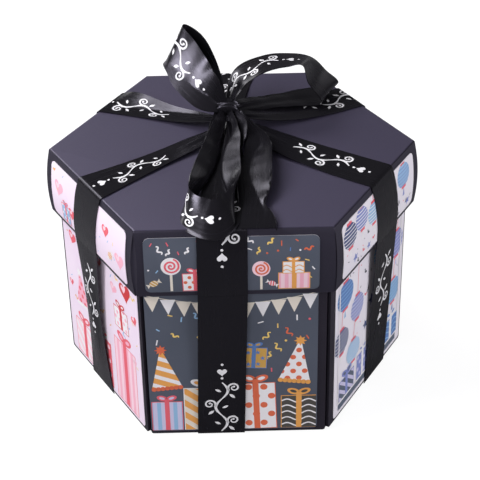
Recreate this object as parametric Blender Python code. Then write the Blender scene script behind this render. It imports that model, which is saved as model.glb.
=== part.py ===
"""Hexagonal explosion gift box: a deep lid over three nested rings of folding card walls,
a small gift box in the middle, printed cards glued to the faces, and a satin ribbon tied in a bow.

Metres, +Z up. The origin is on the surface that the box stands on, under its centre.
The front face looks along -Y. Face numbers run anticlockwise from the front, seen from above.
"""

import math

import bmesh
import bpy
from mathutils import Matrix, Vector

MM = 0.001
SIDES = 6
SIDE_ANGLE = math.tau / SIDES
APOTHEM_SHARE = math.cos(SIDE_ANGLE / 2)

# Driving sizes of the closed box
LID_SIDE = 78.0 * MM
LID_DEPTH = 30.3 * MM
BOX_HEIGHT = 103.6 * MM

# Card, paper and the small gaps between pieces
BOARD = 1.2 * MM
INNER_BOARD = 1.0 * MM
PAPER = 0.25 * MM
GLUE_LINE = 0.1 * MM
FIT_GAP = 0.3 * MM
EDGE_SLIT = 0.6 * MM

# Lid
LID_FOLD_RADIUS = 0.8 * MM
LID_HEADROOM = 0.8 * MM
LID_PLAY = 0.2 * MM
SKIRT_FLARE = 1.3 * MM
SKIRT_BOW = 1.6 * MM
SEAM_DEPTH = 0.55 * MM
SEAM_WIDTH_TOP = 0.15 * MM
SEAM_WIDTH_BOTTOM = 0.5 * MM
SKIRT_LEVEL_SHARES = (0.0, 0.06, 0.2, 0.38, 0.56, 0.76, 1.0)
LABEL_MARGIN_SIDE = 4.5 * MM
LABEL_MARGIN_TOP = 3.0 * MM
LABEL_MARGIN_BOTTOM = 2.4 * MM
LABEL_CORNER = 2.4 * MM

# Rings of walls
LAYER_SPACE = 3.0 * MM
LAYER_STEP = 8.0 * MM
WALL_TOP_CORNER = 4.0 * MM
WALL_FOOT_CORNER = 1.0 * MM
PRINT_SIDE_MARGIN = 2.4 * MM
PRINT_FOOT_MARGIN = 1.6 * MM
PRINT_TOP_MARGIN = 4.0 * MM
PRINT_CORNER = 1.6 * MM
PHOTO_WIDTH = 46.0 * MM
PHOTO_HEIGHT = 62.0 * MM
PHOTO_SLIT = 11.0 * MM
PHOTO_SLIT_WIDTH = 0.9 * MM

# Small box in the middle
GIFT_SIDE = 30.0 * MM
GIFT_HEIGHT = 42.0 * MM
GIFT_BOARD = 1.0 * MM
GIFT_LID_DEPTH = 14.0 * MM
GIFT_LID_PLAY = 0.5 * MM

# Ribbon
RIBBON_WIDTH = 20.0 * MM
RIBBON_THICKNESS = 0.35 * MM
RIBBON_LAY = 0.2 * MM
BASE_RIBBON_THICKNESS = 0.6 * MM
BASE_RIBBON_HUB = 18.0 * MM
RIBBON_END_GAP = 0.4 * MM
RIBBON_FOLD_RADIUS = 0.9 * MM

# Bow: the knot and its strands are in proportion to the ribbon, and reach over the lid's front edge
CROSSING_RIGHT = -1.0 * MM
CROSSING_BACK = 11.0 * MM
ARM_SPREAD_SHARE = 0.41
ARM_RISE_SHARE = 0.25
KNOT_HEIGHT_SHARE = 0.48
KNOT_WIDTH_SHARE = 0.45
KNOT_BACK_SHARE = 0.2
KNOT_RIGHT_SHARE = -0.04
KNOT_GAP = 0.5 * MM
BOW_REACH_SHARE = 0.64

# Sizes that follow from the ones above
FLOOR = BASE_RIBBON_THICKNESS + FIT_GAP
LID_TOP = FLOOR + BOX_HEIGHT
LID_UNDERSIDE = LID_TOP - BOARD
SKIRT_FOOT = LID_TOP - LID_DEPTH
WALL_HEIGHT = LID_UNDERSIDE - LID_HEADROOM - FLOOR
LID_APOTHEM = LID_SIDE * APOTHEM_SHARE
PRINT_PROUD = GLUE_LINE + PAPER
BOX_APOTHEM = LID_APOTHEM - BOARD - LID_PLAY - PRINT_PROUD
LABEL_WIDTH = LID_SIDE - 2 * LABEL_MARGIN_SIDE
KNOT_HEIGHT = KNOT_HEIGHT_SHARE * RIBBON_WIDTH
KNOT_WIDTH = KNOT_WIDTH_SHARE * RIBBON_WIDTH
BOW_REACH = BOW_REACH_SHARE * LID_SIDE
CROSSING = Vector((CROSSING_RIGHT, CROSSING_BACK, 0))

# Where each ribbon arm crosses the lid's edge, the skirt's foot and the base's edge, along its face
EDGE_DRIFT_SHARES = (-0.24, 0.22, 0.42, -0.08, -0.42, 0.04)
SKIRT_DRIFT_SHARES = (-0.25, 0.32, 0.40, -0.05, -0.40, -0.20)
BASE_DRIFT_SHARES = (-0.36, 0.40, 0.32, 0.0, -0.34, -0.22)


def clear_scene():
    """Removes every object, so that the file holds only the box."""
    for item in list(bpy.data.objects):
        bpy.data.objects.remove(item, do_unlink=True)


def material(name, colour, roughness, sheen=0.0, metallic=0.0):
    """A Principled surface of its own for one piece."""
    made = bpy.data.materials.new(name)
    made.use_nodes = True
    shader = made.node_tree.nodes["Principled BSDF"]
    shader.inputs["Base Color"].default_value = (*colour, 1)
    shader.inputs["Roughness"].default_value = roughness
    shader.inputs["Metallic"].default_value = metallic
    shader.inputs["Sheen Weight"].default_value = sheen
    return made


def card_black(name):
    return material(name, (0.045, 0.042, 0.06), 0.62)


def card_inner(name):
    return material(name, (0.07, 0.066, 0.09), 0.7)


def printed_paper(name, colour):
    return material(name, colour, 0.45)


def satin(name):
    return material(name, (0.012, 0.012, 0.014), 0.34, sheen=0.3)


def add_object(name, mesh, surface, parent=None, smooth_angle=None):
    """Links a finished mesh as one named piece."""
    item = bpy.data.objects.new(name, mesh)
    bpy.context.scene.collection.objects.link(item)
    mesh.materials.append(surface)
    if smooth_angle is not None:
        mesh.shade_smooth()
        mesh.set_sharp_from_angle(angle=smooth_angle)
    if parent is not None:
        item.parent = parent
    return item


def mesh_from(bm, name):
    """Turns a bmesh into a mesh with its faces pointing out."""
    bmesh.ops.recalc_face_normals(bm, faces=bm.faces)
    mesh = bpy.data.meshes.new(name)
    bm.to_mesh(mesh)
    bm.free()
    return mesh


def loft(rings, name):
    """A closed solid through rings of equally many points."""
    bm = bmesh.new()
    loops = [[bm.verts.new(point) for point in ring] for ring in rings]
    for lower, upper in zip(loops, loops[1:]):
        count = len(lower)
        for k in range(count):
            after = (k + 1) % count
            bm.faces.new((lower[k], lower[after], upper[after], upper[k]))
    bm.faces.new(loops[0])
    bm.faces.new(loops[-1])
    return mesh_from(bm, name)


def face_turn(index):
    """The turn about Z that brings the front face to face number index."""
    return index * SIDE_ANGLE


def face_matrix(index, apothem, height):
    """Local X runs along the face, local Y into the box and local Z up, from a face's middle."""
    turn = Matrix.Rotation(face_turn(index), 4, "Z")
    return turn @ Matrix.Translation((0, -apothem, height))


def hexagon_ring(side, height):
    """The six corners of a hexagon with flat faces at the front and back."""
    first = -math.pi / 2 - SIDE_ANGLE / 2
    angles = [first + k * SIDE_ANGLE for k in range(SIDES)]
    return [Vector((side * math.cos(angle), side * math.sin(angle), height)) for angle in angles]


def skirt_side(drop_share):
    """The lid's side length at a share of the skirt's depth: it flares and bows outward."""
    return LID_SIDE + SKIRT_FLARE * drop_share + SKIRT_BOW * 4 * drop_share * (1 - drop_share)


def skirt_apothem(height):
    """The distance of a flap's outer face from the axis, read between the flap's modelled levels."""
    drop_share = min(1.0, max(0.0, (LID_TOP - height) / LID_DEPTH))
    for above, below in zip(SKIRT_LEVEL_SHARES, SKIRT_LEVEL_SHARES[1:]):
        if drop_share <= below:
            part_way = (drop_share - above) / (below - above)
            side = skirt_side(above) + (skirt_side(below) - skirt_side(above)) * part_way
            return side * APOTHEM_SHARE
    return skirt_side(1.0) * APOTHEM_SHARE


def skirt_levels(low, high):
    """The heights of the flap's modelled levels between two heights, from the lowest up."""
    heights = [LID_TOP - LID_DEPTH * share for share in reversed(SKIRT_LEVEL_SHARES)]
    return [height for height in heights if low < height < high]


def seamed_ring(side, height, seam_width, seam_depth):
    """A hexagon with a small groove at each corner, where two flaps meet."""
    points = []
    corners = hexagon_ring(side, height)
    for k, corner in enumerate(corners):
        before = (corners[k - 1] - corner).normalized()
        after = (corners[(k + 1) % SIDES] - corner).normalized()
        inward = -Vector((corner.x, corner.y, 0)).normalized()
        points.append(corner + before * seam_width)
        points.append(corner + inward * seam_depth)
        points.append(corner + after * seam_width)
    return points


def make_lid():
    """The lid: a flat hexagonal top with six bowed flaps folded down from it."""
    drop_shares = SKIRT_LEVEL_SHARES[1:]
    outer = []
    fold_steps = 3
    for step in range(fold_steps + 1):
        angle = step / fold_steps * math.pi / 2
        inset = LID_FOLD_RADIUS * (1 - math.sin(angle))
        height = LID_TOP - LID_FOLD_RADIUS * (1 - math.cos(angle))
        outer.append(seamed_ring(LID_SIDE - inset / APOTHEM_SHARE, height, SEAM_WIDTH_TOP, SEAM_WIDTH_TOP))
    for share in drop_shares:
        width = SEAM_WIDTH_TOP + (SEAM_WIDTH_BOTTOM - SEAM_WIDTH_TOP) * share
        outer.append(seamed_ring(skirt_side(share), LID_TOP - LID_DEPTH * share, width, SEAM_DEPTH))
    inner = []
    for share in reversed(drop_shares[1:]):
        side = skirt_side(share) - BOARD / APOTHEM_SHARE
        inner.append(seamed_ring(side, LID_TOP - LID_DEPTH * share, SEAM_WIDTH_TOP, 0))
    top_inner_side = LID_SIDE - BOARD / APOTHEM_SHARE
    inner.append(seamed_ring(top_inner_side, LID_UNDERSIDE, SEAM_WIDTH_TOP, 0))
    mesh = loft(outer + inner, "lid")
    return add_object("lid", mesh, card_black("lid_card"))


def corner_rows(width, low, high, low_radius, high_radius, steps=3, levels=()):
    """Rows of a rectangle with rounded corners: each is a height and half the width there."""
    rows = []
    for step in range(steps + 1):
        angle = step / steps * math.pi / 2
        rows.append((low + low_radius * (1 - math.cos(angle)), width / 2 - low_radius * (1 - math.sin(angle))))
    for height in levels:
        rows.append((height, width / 2))
    for step in range(steps + 1):
        angle = (1 - step / steps) * math.pi / 2
        rows.append((high - high_radius * (1 - math.cos(angle)), width / 2 - high_radius * (1 - math.sin(angle))))
    return rows


def plate_mesh(name, rows, back_of, thickness):
    """A thin plate from rows: back_of gives the local Y of its back at each height."""
    rings = []
    for height, half in rows:
        back = back_of(height)
        front = back - thickness
        rings.append([
            Vector((-half, front, height)),
            Vector((half, front, height)),
            Vector((half, back, height)),
            Vector((-half, back, height)),
        ])
    return loft(rings, name)


def make_lid_labels(lid):
    """One rounded label on each flap of the lid, following the flap's bow."""
    low = SKIRT_FOOT + LABEL_MARGIN_BOTTOM
    high = LID_TOP - LABEL_MARGIN_TOP
    levels = skirt_levels(low + LABEL_CORNER, high - LABEL_CORNER)
    rows = corner_rows(LABEL_WIDTH, low, high, LABEL_CORNER, LABEL_CORNER, levels=levels)
    for index in range(SIDES):
        name = f"lid_print_{index + 1}"
        mesh = plate_mesh(name, rows, lambda height: -skirt_apothem(height) - GLUE_LINE, PAPER)
        label = add_object(name, mesh, printed_paper(name, (0.1, 0.12, 0.15)), parent=lid)
        label.matrix_local = face_matrix(index, 0, 0)


def crease(name, index, apothem, height):
    """An empty on the crease line that a wall folds about; its X axis is the fold axis."""
    hinge = bpy.data.objects.new(name, None)
    hinge.empty_display_size = wall_width(apothem, 0) / 2
    bpy.context.scene.collection.objects.link(hinge)
    hinge.matrix_world = face_matrix(index, apothem, height)
    return hinge


def wall_width(apothem, board):
    """A wall's width: the side of the hexagon through its inner face, less the slit at the corners."""
    return 2 * (apothem - board) * math.tan(SIDE_ANGLE / 2) - EDGE_SLIT


def plain_wall_mesh(name, apothem, board, height):
    """A wall with its outer face on the crease line and its thickness inside."""
    width = wall_width(apothem, board)
    rows = corner_rows(width, 0, height, WALL_FOOT_CORNER, WALL_TOP_CORNER)
    return plate_mesh(name, rows, lambda _height: board, board)


def slit_corners(centre, length, width, angle):
    """The four corners of one straight slit in a wall's plane."""
    along = Vector((math.cos(angle), 0, math.sin(angle))) * length / 2
    across = Vector((-math.sin(angle), 0, math.cos(angle))) * width / 2
    return [centre - along - across, centre + along - across, centre + along + across, centre - along + across]


def photo_wall_mesh(name, apothem, board, height):
    """A wall with four diagonal slits that hold the corners of a photo."""
    width = wall_width(apothem, board)
    rows = corner_rows(width, 0, height, WALL_FOOT_CORNER, WALL_TOP_CORNER)
    outline = [Vector((half, 0, level)) for level, half in rows]
    outline += [Vector((-half, 0, level)) for level, half in reversed(rows)]
    loops = [outline]
    middle = height / 2
    for across in (-1, 1):
        for up in (-1, 1):
            centre = Vector((across * PHOTO_WIDTH / 2, 0, middle + up * PHOTO_HEIGHT / 2))
            loops.append(slit_corners(centre, PHOTO_SLIT, PHOTO_SLIT_WIDTH, -across * up * math.pi / 4))
    bm = bmesh.new()
    edges = []
    for loop in loops:
        verts = [bm.verts.new(point) for point in loop]
        edges += [bm.edges.new((verts[k - 1], verts[k])) for k in range(len(verts))]
    bmesh.ops.triangle_fill(bm, use_beauty=True, edges=edges)
    grown = bmesh.ops.extrude_face_region(bm, geom=list(bm.faces))
    moved = [part for part in grown["geom"] if isinstance(part, bmesh.types.BMVert)]
    bmesh.ops.translate(bm, verts=moved, vec=(0, board, 0))
    return mesh_from(bm, name)


def make_base(name, apothem, board, height):
    """A ring's floor: a hexagon of card that its walls fold up around."""
    side = (apothem - board - FIT_GAP) / APOTHEM_SHARE
    rings = [hexagon_ring(side, height), hexagon_ring(side, height + board)]
    return add_object(name, loft(rings, name), card_inner(name))


def make_outer_ring():
    """The visible walls, each with a large print on its outer face."""
    make_base("outer_base", BOX_APOTHEM, BOARD, FLOOR)
    width = wall_width(BOX_APOTHEM, BOARD) - PRINT_SIDE_MARGIN
    rows = corner_rows(width, PRINT_FOOT_MARGIN, WALL_HEIGHT - PRINT_TOP_MARGIN, PRINT_CORNER, PRINT_CORNER)
    creases = []
    for index in range(SIDES):
        number = index + 1
        hinge = crease(f"outer_crease_{number}", index, BOX_APOTHEM, FLOOR)
        wall_mesh = plain_wall_mesh(f"outer_wall_{number}", BOX_APOTHEM, BOARD, WALL_HEIGHT)
        add_object(f"outer_wall_{number}", wall_mesh, card_black(f"outer_wall_{number}"), parent=hinge)
        name = f"outer_print_{number}"
        print_mesh = plate_mesh(name, rows, lambda _height: -GLUE_LINE, PAPER)
        add_object(name, print_mesh, printed_paper(name, (0.09, 0.1, 0.12)), parent=hinge)
        creases.append(hinge)
    return creases


def make_inner_ring(name, apothem, floor, height, mesh_maker):
    """A hidden ring: its floor and six folding walls."""
    make_base(f"{name}_base", apothem, INNER_BOARD, floor)
    for index in range(SIDES):
        number = index + 1
        hinge = crease(f"{name}_crease_{number}", index, apothem, floor)
        mesh = mesh_maker(f"{name}_wall_{number}", apothem, INNER_BOARD, height)
        add_object(f"{name}_wall_{number}", mesh, card_inner(f"{name}_wall_{number}"), parent=hinge)


def hexagon_shell(name, side, board, closed_end, open_end):
    """A hexagonal cup of card from its closed end to its open end."""
    inner_side = side - board / APOTHEM_SHARE
    floor_top = closed_end + math.copysign(board, open_end - closed_end)
    rings = [
        hexagon_ring(side, closed_end),
        hexagon_ring(side, open_end),
        hexagon_ring(inner_side, open_end),
        hexagon_ring(inner_side, floor_top),
    ]
    return loft(rings, name)


def make_gift_box(floor):
    """The small lidded box in the middle, whose lid lifts off along the box's axis."""
    add_object(
        "gift_box",
        hexagon_shell("gift_box", GIFT_SIDE, GIFT_BOARD, floor, floor + GIFT_HEIGHT),
        card_black("gift_box"),
    )
    top = floor + GIFT_HEIGHT + FIT_GAP + GIFT_BOARD
    lid_side = GIFT_SIDE + (GIFT_LID_PLAY + GIFT_BOARD) / APOTHEM_SHARE
    add_object(
        "gift_box_lid",
        hexagon_shell("gift_box_lid", lid_side, GIFT_BOARD, top, top - GIFT_LID_DEPTH),
        card_black("gift_box_lid"),
    )


def strip_mesh(name, stations, thickness):
    """A ribbon solid. Each station is its centre, half its width as a vector, and its outward normal."""
    rings = []
    for centre, half, normal in stations:
        lift = normal * (thickness / 2)
        rings.append([centre - half - lift, centre + half - lift, centre + half + lift, centre - half + lift])
    return loft(rings, name)


def blend_points(points, position):
    """A point on the smooth Catmull-Rom curve through vectors, at a position counted in points."""
    last = len(points) - 1
    index = min(int(position), last - 1)
    t = position - index
    before = points[max(index - 1, 0)]
    start = points[index]
    end = points[index + 1]
    after = points[min(index + 2, last)]
    pull = (end - before) * t + (2 * before - 5 * start + 4 * end - after) * t * t
    return start + (pull + (3 * start - before - 3 * end + after) * t * t * t) / 2


def ribbon_stations(places, per_span):
    """Smooth stations through places, each a centre and half the ribbon's width as a vector."""
    centres = [centre for centre, _half in places]
    halves = [half for _centre, half in places]
    count = (len(places) - 1) * per_span
    spots = [k / per_span for k in range(count + 1)]
    line = [blend_points(centres, spot) for spot in spots]
    spans = [blend_points(halves, spot) for spot in spots]
    stations = []
    for k, centre in enumerate(line):
        ahead = line[min(k + 1, count)] - line[max(k - 1, 0)]
        normal = ahead.cross(spans[k]).normalized()
        stations.append((centre, spans[k], normal))
    return stations


def face_axes(index):
    """Unit vectors along a face and out of it."""
    turn = Matrix.Rotation(face_turn(index), 3, "Z")
    return turn @ Vector((1, 0, 0)), turn @ Vector((0, -1, 0))


def lid_arm_stations(index):
    """One arm of the ribbon: from beside the knot, over the lid's edge and down its flap."""
    along, outward = face_axes(index)
    lay = RIBBON_LAY + RIBBON_THICKNESS / 2
    proud = PRINT_PROUD + lay
    edge_drift = along * (EDGE_DRIFT_SHARES[index] * RIBBON_WIDTH)
    skirt_drift = along * (SKIRT_DRIFT_SHARES[index] * RIBBON_WIDTH)
    up = Vector((0, 0, 1))
    top = up * (LID_TOP + lay)
    hub = outward * (LID_APOTHEM - RIBBON_FOLD_RADIUS) + edge_drift
    run = hub - CROSSING
    across = up.cross(run).normalized()
    if across.dot(along) < 0:
        across.negate()
    stations = []
    reach_shares = (0.0, 0.1, 0.22, 0.4, 0.7, 1.0)
    rise_shares = (1.0, 0.43, 0.14, 0.02, 0.0, 0.0)
    first = (KNOT_WIDTH / 2 + KNOT_GAP) / run.length
    for share, rise_share in zip(reach_shares, rise_shares):
        spot = first + (1 - first) * share
        half = min(RIBBON_WIDTH / 2, ARM_SPREAD_SHARE * spot * run.length)
        middle = CROSSING + run * spot + top + up * (ARM_RISE_SHARE * KNOT_HEIGHT * rise_share)
        stations.append((middle, across.lerp(along, share).normalized() * half, up))
    half = along * (RIBBON_WIDTH / 2)
    bend = RIBBON_FOLD_RADIUS + proud
    bend_shares = (0.33, 0.67, 1.0)
    for share in bend_shares:
        angle = share * math.pi / 2
        normal = outward * math.sin(angle) + up * math.cos(angle)
        middle = hub + outward * bend * math.sin(angle)
        height = LID_TOP + lay - bend * (1 - math.cos(angle))
        stations.append((middle + up * height, half, normal))
    first_height = LID_TOP + lay - bend
    for height in [*reversed(skirt_levels(SKIRT_FOOT, first_height)), SKIRT_FOOT]:
        share = (first_height - height) / (first_height - SKIRT_FOOT)
        middle = outward * (skirt_apothem(height) + proud) + edge_drift.lerp(skirt_drift, share)
        stations.append((middle + up * height, half, outward))
    return stations


def make_lid_arms(lid):
    for index in range(SIDES):
        name = f"lid_ribbon_{index + 1}"
        mesh = strip_mesh(name, lid_arm_stations(index), RIBBON_THICKNESS)
        add_object(name, mesh, satin(name), parent=lid, smooth_angle=math.radians(40))


def make_wall_ribbons(creases):
    """A taut strip on each face, from the lid's flap to the foot of the wall."""
    top_height = SKIRT_FOOT - FLOOR - RIBBON_END_GAP
    proud = PRINT_PROUD + RIBBON_LAY
    top_proud = skirt_apothem(SKIRT_FOOT) + proud - BOX_APOTHEM
    height_shares = (0.0, 0.015, 0.25, 0.5, 0.75, 1.0)
    for index, hinge in enumerate(creases):
        name = f"wall_ribbon_{index + 1}"
        stations = []
        for share in height_shares:
            drift = BASE_DRIFT_SHARES[index] + (SKIRT_DRIFT_SHARES[index] - BASE_DRIFT_SHARES[index]) * share
            stand_off = proud + (top_proud - proud) * share + RIBBON_THICKNESS / 2
            height = FIT_GAP + (top_height - FIT_GAP) * share
            centre = Vector((drift * RIBBON_WIDTH, -stand_off, height))
            stations.append((centre, Vector((RIBBON_WIDTH / 2, 0, 0)), Vector((0, -1, 0))))
        mesh = strip_mesh(name, stations, RIBBON_THICKNESS)
        add_object(name, mesh, satin(name), parent=hinge)


def make_base_ribbon():
    """The bands where they cross under the box, as one flat star that the box stands on."""
    outline = []
    for index in range(SIDES):
        along, outward = face_axes(index)
        edge = outward * (BOX_APOTHEM - FIT_GAP) + along * (BASE_DRIFT_SHARES[index] * RIBBON_WIDTH)
        half = along * (RIBBON_WIDTH / 2)
        hub = outward * BASE_RIBBON_HUB
        outline += [hub - half, edge - half, edge + half, hub + half]
    rings = [[point + Vector((0, 0, height)) for point in outline] for height in (0, BASE_RIBBON_THICKNESS)]
    add_object("base_ribbon", loft(rings, "base_ribbon"), satin("base_ribbon"))


def knot_centre():
    """The middle of the wrapped knot, above the point where the bands cross."""
    lift = LID_TOP + RIBBON_LAY + KNOT_HEIGHT
    return CROSSING + Vector((KNOT_RIGHT_SHARE * RIBBON_WIDTH, KNOT_BACK_SHARE * RIBBON_WIDTH, lift))


def make_knot(lid):
    """The knot: gathered folds rising from the crossing into a tight wrapped band."""
    height_shares = (0.0, 0.12, 0.4, 0.62, 0.7, 0.84, 0.98, 1.1, 1.2)
    width_shares = (0.9, 0.94, 0.66, 0.42, 0.86, 1.0, 0.98, 0.8, 0.36)
    pleat_shares = (0.05, 0.1, 0.12, 0.08, 0.02, 0.03, 0.03, 0.02, 0.02)
    around = 16
    pleats = 5
    foot = CROSSING + Vector((0, 0, LID_TOP + RIBBON_LAY))
    rings = []
    for height, width, pleat in zip(height_shares, width_shares, pleat_shares):
        lean = foot.lerp(knot_centre(), height)
        ring = []
        for step in range(around):
            angle = step / around * math.tau
            radius = KNOT_WIDTH / 2 * width * (1 + pleat * math.cos(pleats * angle))
            flat_share = 0.86
            ring.append(lean + Vector((radius * math.cos(angle), radius * flat_share * math.sin(angle), 0)))
        rings.append(ring)
    add_object("bow_knot", loft(rings, "bow_knot"), satin("bow_knot"), parent=lid, smooth_angle=math.radians(50))


# The bow's strands. Each place is a step from the knot, in shares of the bow's reach along X and Y
# and of the knot's height along Z, then the ribbon's crosswise direction, then its width there
# as a share of the ribbon's width
LEFT_LOOP_SHARES = (
    ((-0.06, -0.03, 0.2), (0.6, 0.1, 0.75), 0.2),
    ((-0.11, -0.05, 0.68), (0.55, 0.1, 0.83), 0.42),
    ((-0.20, -0.05, 1.25), (0.54, 0.05, 0.83), 0.75),
    ((-0.33, -0.03, 2.2), (0.48, 0.0, 0.87), 1.0),
    ((-0.43, 0.07, 2.8), (0.42, 0.0, 0.91), 1.0),
    ((-0.39, 0.21, 2.66), (0.41, 0.0, 0.91), 1.0),
    ((-0.29, 0.25, 2.15), (0.4, 0.0, 0.91), 1.0),
    ((-0.18, 0.23, 1.35), (0.38, 0.0, 0.92), 0.9),
    ((-0.09, 0.15, 0.68), (0.35, 0.0, 0.95), 0.55),
    ((-0.04, 0.075, 0.2), (0.4, 0.0, 0.9), 0.2),
)
RIGHT_LOOP_SHARES = (
    ((0.05, 0.06, 0.19), (-0.5, 0.85, 0.1), 0.22),
    ((0.07, 0.13, 0.68), (-0.45, 0.88, 0.1), 0.5),
    ((0.15, 0.19, 1.25), (-0.18, 0.98, 0.06), 0.8),
    ((0.34, 0.25, 1.68), (0.0, 0.99, -0.11), 0.95),
    ((0.54, 0.30, 1.7), (0.06, 0.98, -0.17), 0.95),
    ((0.71, 0.37, 1.4), (0.22, 0.93, -0.28), 1.0),
    ((0.82, 0.42, 0.55), (0.45, 0.88, -0.1), 1.0),
    ((0.80, 0.43, -0.32), (0.45, 0.89, -0.05), 1.0),
    ((0.62, 0.38, -0.68), (-0.3, 0.94, 0.0), 0.95),
    ((0.34, 0.24, -0.62), (-0.4, 0.9, 0.0), 0.7),
    ((0.095, 0.055, -0.16), (-0.3, 0.6, 0.7), 0.24),
)
FRONT_LOOP_SHARES = (
    ((-0.05, -0.117, -0.15), (-0.7, -0.1, 0.4), 0.2),
    ((-0.10, -0.36, -0.1), (-0.6, -0.5, 0.65), 0.6),
    ((-0.18, -0.72, -0.05), (-0.64, -0.4, 0.7), 0.92),
    ((-0.26, -1.12, 0.05), (-0.5, -0.2, 0.82), 1.0),
    ((-0.37, -1.45, 0.12), (-0.12, 0.2, 0.93), 0.98),
    ((-0.30, -1.72, -0.25), (0.12, 0.6, 0.78), 0.96),
    ((-0.12, -1.74, -0.25), (0.12, 0.6, 0.78), 0.96),
    ((0.0, -1.60, 0.06), (0.12, 0.4, 0.88), 0.96),
    ((0.05, -1.25, 0.2), (0.22, 0.0, 0.95), 0.95),
    ((0.05, -0.80, 0.04), (0.5, -0.25, 0.82), 0.8),
    ((0.05, -0.42, -0.1), (0.5, -0.4, 0.75), 0.5),
    ((0.03, -0.13, -0.15), (0.6, -0.2, 0.5), 0.2),
)
TAIL_SHARES = (
    ((0.13, -0.06, -0.3), (0.5, -0.4, 0.7), 0.24),
    ((0.26, -0.38, -0.36), (0.4, -0.5, 0.72), 0.5),
    ((0.29, -0.70, -0.5), (0.8, -0.1, 0.5), 0.6),
    ((0.28, -1.05, -0.77), (0.97, 0.1, 0.16), 0.56),
    ((0.26, -1.38, -0.83), (0.97, 0.2, 0.07), 0.54),
    ((0.26, -1.66, -0.85), (0.98, 0.15, 0.0), 0.55),
)


def make_strand(name, shares, lid, per_span=4):
    """One strand of the bow, laid through its places."""
    places = []
    for (right, back, rise), direction, width in shares:
        step = Vector((right * BOW_REACH, back * BOW_REACH, rise * KNOT_HEIGHT))
        places.append((knot_centre() + step, Vector(direction).normalized() * (RIBBON_WIDTH * width / 2)))
    mesh = strip_mesh(name, ribbon_stations(places, per_span), RIBBON_THICKNESS)
    add_object(name, mesh, satin(name), parent=lid, smooth_angle=math.radians(40))


def make_bow(lid):
    make_knot(lid)
    make_strand("bow_loop_left", LEFT_LOOP_SHARES, lid)
    make_strand("bow_loop_right", RIGHT_LOOP_SHARES, lid)
    make_strand("bow_loop_front", FRONT_LOOP_SHARES, lid)
    make_strand("bow_tail", TAIL_SHARES, lid)


def main():
    clear_scene()
    lid = make_lid()
    make_lid_labels(lid)
    creases = make_outer_ring()
    middle_apothem = BOX_APOTHEM - BOARD - LAYER_SPACE
    middle_floor = FLOOR + BOARD + FIT_GAP
    middle_height = WALL_HEIGHT - LAYER_STEP
    make_inner_ring("middle", middle_apothem, middle_floor, middle_height, photo_wall_mesh)
    inner_apothem = middle_apothem - INNER_BOARD - LAYER_SPACE
    inner_floor = middle_floor + INNER_BOARD + FIT_GAP
    inner_height = middle_height - LAYER_STEP
    make_inner_ring("inner", inner_apothem, inner_floor, inner_height, plain_wall_mesh)
    make_gift_box(inner_floor + INNER_BOARD + FIT_GAP)
    make_base_ribbon()
    make_wall_ribbons(creases)
    make_lid_arms(lid)
    make_bow(lid)
    bpy.context.view_layer.update()


main()
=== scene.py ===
import random
from bisect import bisect_left
from math import ceil, cos, floor, pi, radians, sin, sqrt, tau

import bmesh
import bpy
from mathutils import Matrix, Vector


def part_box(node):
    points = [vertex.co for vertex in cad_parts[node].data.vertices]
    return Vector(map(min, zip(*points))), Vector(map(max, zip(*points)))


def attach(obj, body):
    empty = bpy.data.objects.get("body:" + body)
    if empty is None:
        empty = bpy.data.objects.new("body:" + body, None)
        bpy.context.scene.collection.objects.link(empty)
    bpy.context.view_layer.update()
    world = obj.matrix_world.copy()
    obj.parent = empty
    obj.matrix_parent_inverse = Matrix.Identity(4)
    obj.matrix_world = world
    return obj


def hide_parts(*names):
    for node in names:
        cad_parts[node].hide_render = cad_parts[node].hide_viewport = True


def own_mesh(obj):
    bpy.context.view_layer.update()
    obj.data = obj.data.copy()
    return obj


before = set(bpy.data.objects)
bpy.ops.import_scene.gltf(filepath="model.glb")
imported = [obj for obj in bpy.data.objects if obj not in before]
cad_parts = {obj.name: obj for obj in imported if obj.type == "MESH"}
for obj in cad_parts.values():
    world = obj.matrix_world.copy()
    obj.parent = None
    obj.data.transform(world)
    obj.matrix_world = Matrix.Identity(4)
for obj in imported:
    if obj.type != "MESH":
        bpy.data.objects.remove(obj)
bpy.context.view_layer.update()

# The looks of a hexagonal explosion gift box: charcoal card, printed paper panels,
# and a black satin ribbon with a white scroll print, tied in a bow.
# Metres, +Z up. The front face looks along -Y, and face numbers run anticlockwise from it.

MM = 0.001
UP = Vector((0, 0, 1))
SIDES = 6
SIDE_ANGLE = tau / SIDES
APOTHEM_SHARE = cos(SIDE_ANGLE / 2)

# Sizes read from the frame
LID_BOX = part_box("lid")
WALL_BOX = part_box("outer_wall_1")
PRINT_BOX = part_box("outer_print_1")
LABEL_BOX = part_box("lid_print_1")
LID_TOP = LID_BOX[1].z
SKIRT_FOOT = LID_BOX[0].z
LID_DEPTH = LID_TOP - SKIRT_FOOT
WALL_FOOT = WALL_BOX[0].z
BOX_APOTHEM = -WALL_BOX[0].y

# Sizes of the card, paper and lid
LID_SIDE = 78.0 * MM
BOARD = 1.2 * MM
PAPER = 0.25 * MM
GLUE_LINE = 0.1 * MM
PRINT_PROUD = GLUE_LINE + PAPER
LID_FOLD_RADIUS = 0.8 * MM
LID_APOTHEM = LID_SIDE * APOTHEM_SHARE
SKIRT_FLARE = 1.3 * MM
SKIRT_BOW = 1.6 * MM
RIM_ROUND = 0.15 * MM
SEAM_WIDTH_TOP = 0.15 * MM
SEAM_WIDTH_BOTTOM = 0.5 * MM
SEAM_DEPTH = 0.55 * MM
SEAM_START_SHARE = 0.125
OPEN_SEAM_WIDTH = 1.35 * MM
OPEN_SEAM_DEPTH = 1.1 * MM
LABEL_CORNER = 2.4 * MM
PRINT_CORNER = 1.6 * MM
PRINT_MARGIN = 0.4 * MM
# How many bands a label and a wall's print are cut into, so that they follow their face
LABEL_LEVELS = 10
PRINT_LEVELS = 1
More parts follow.
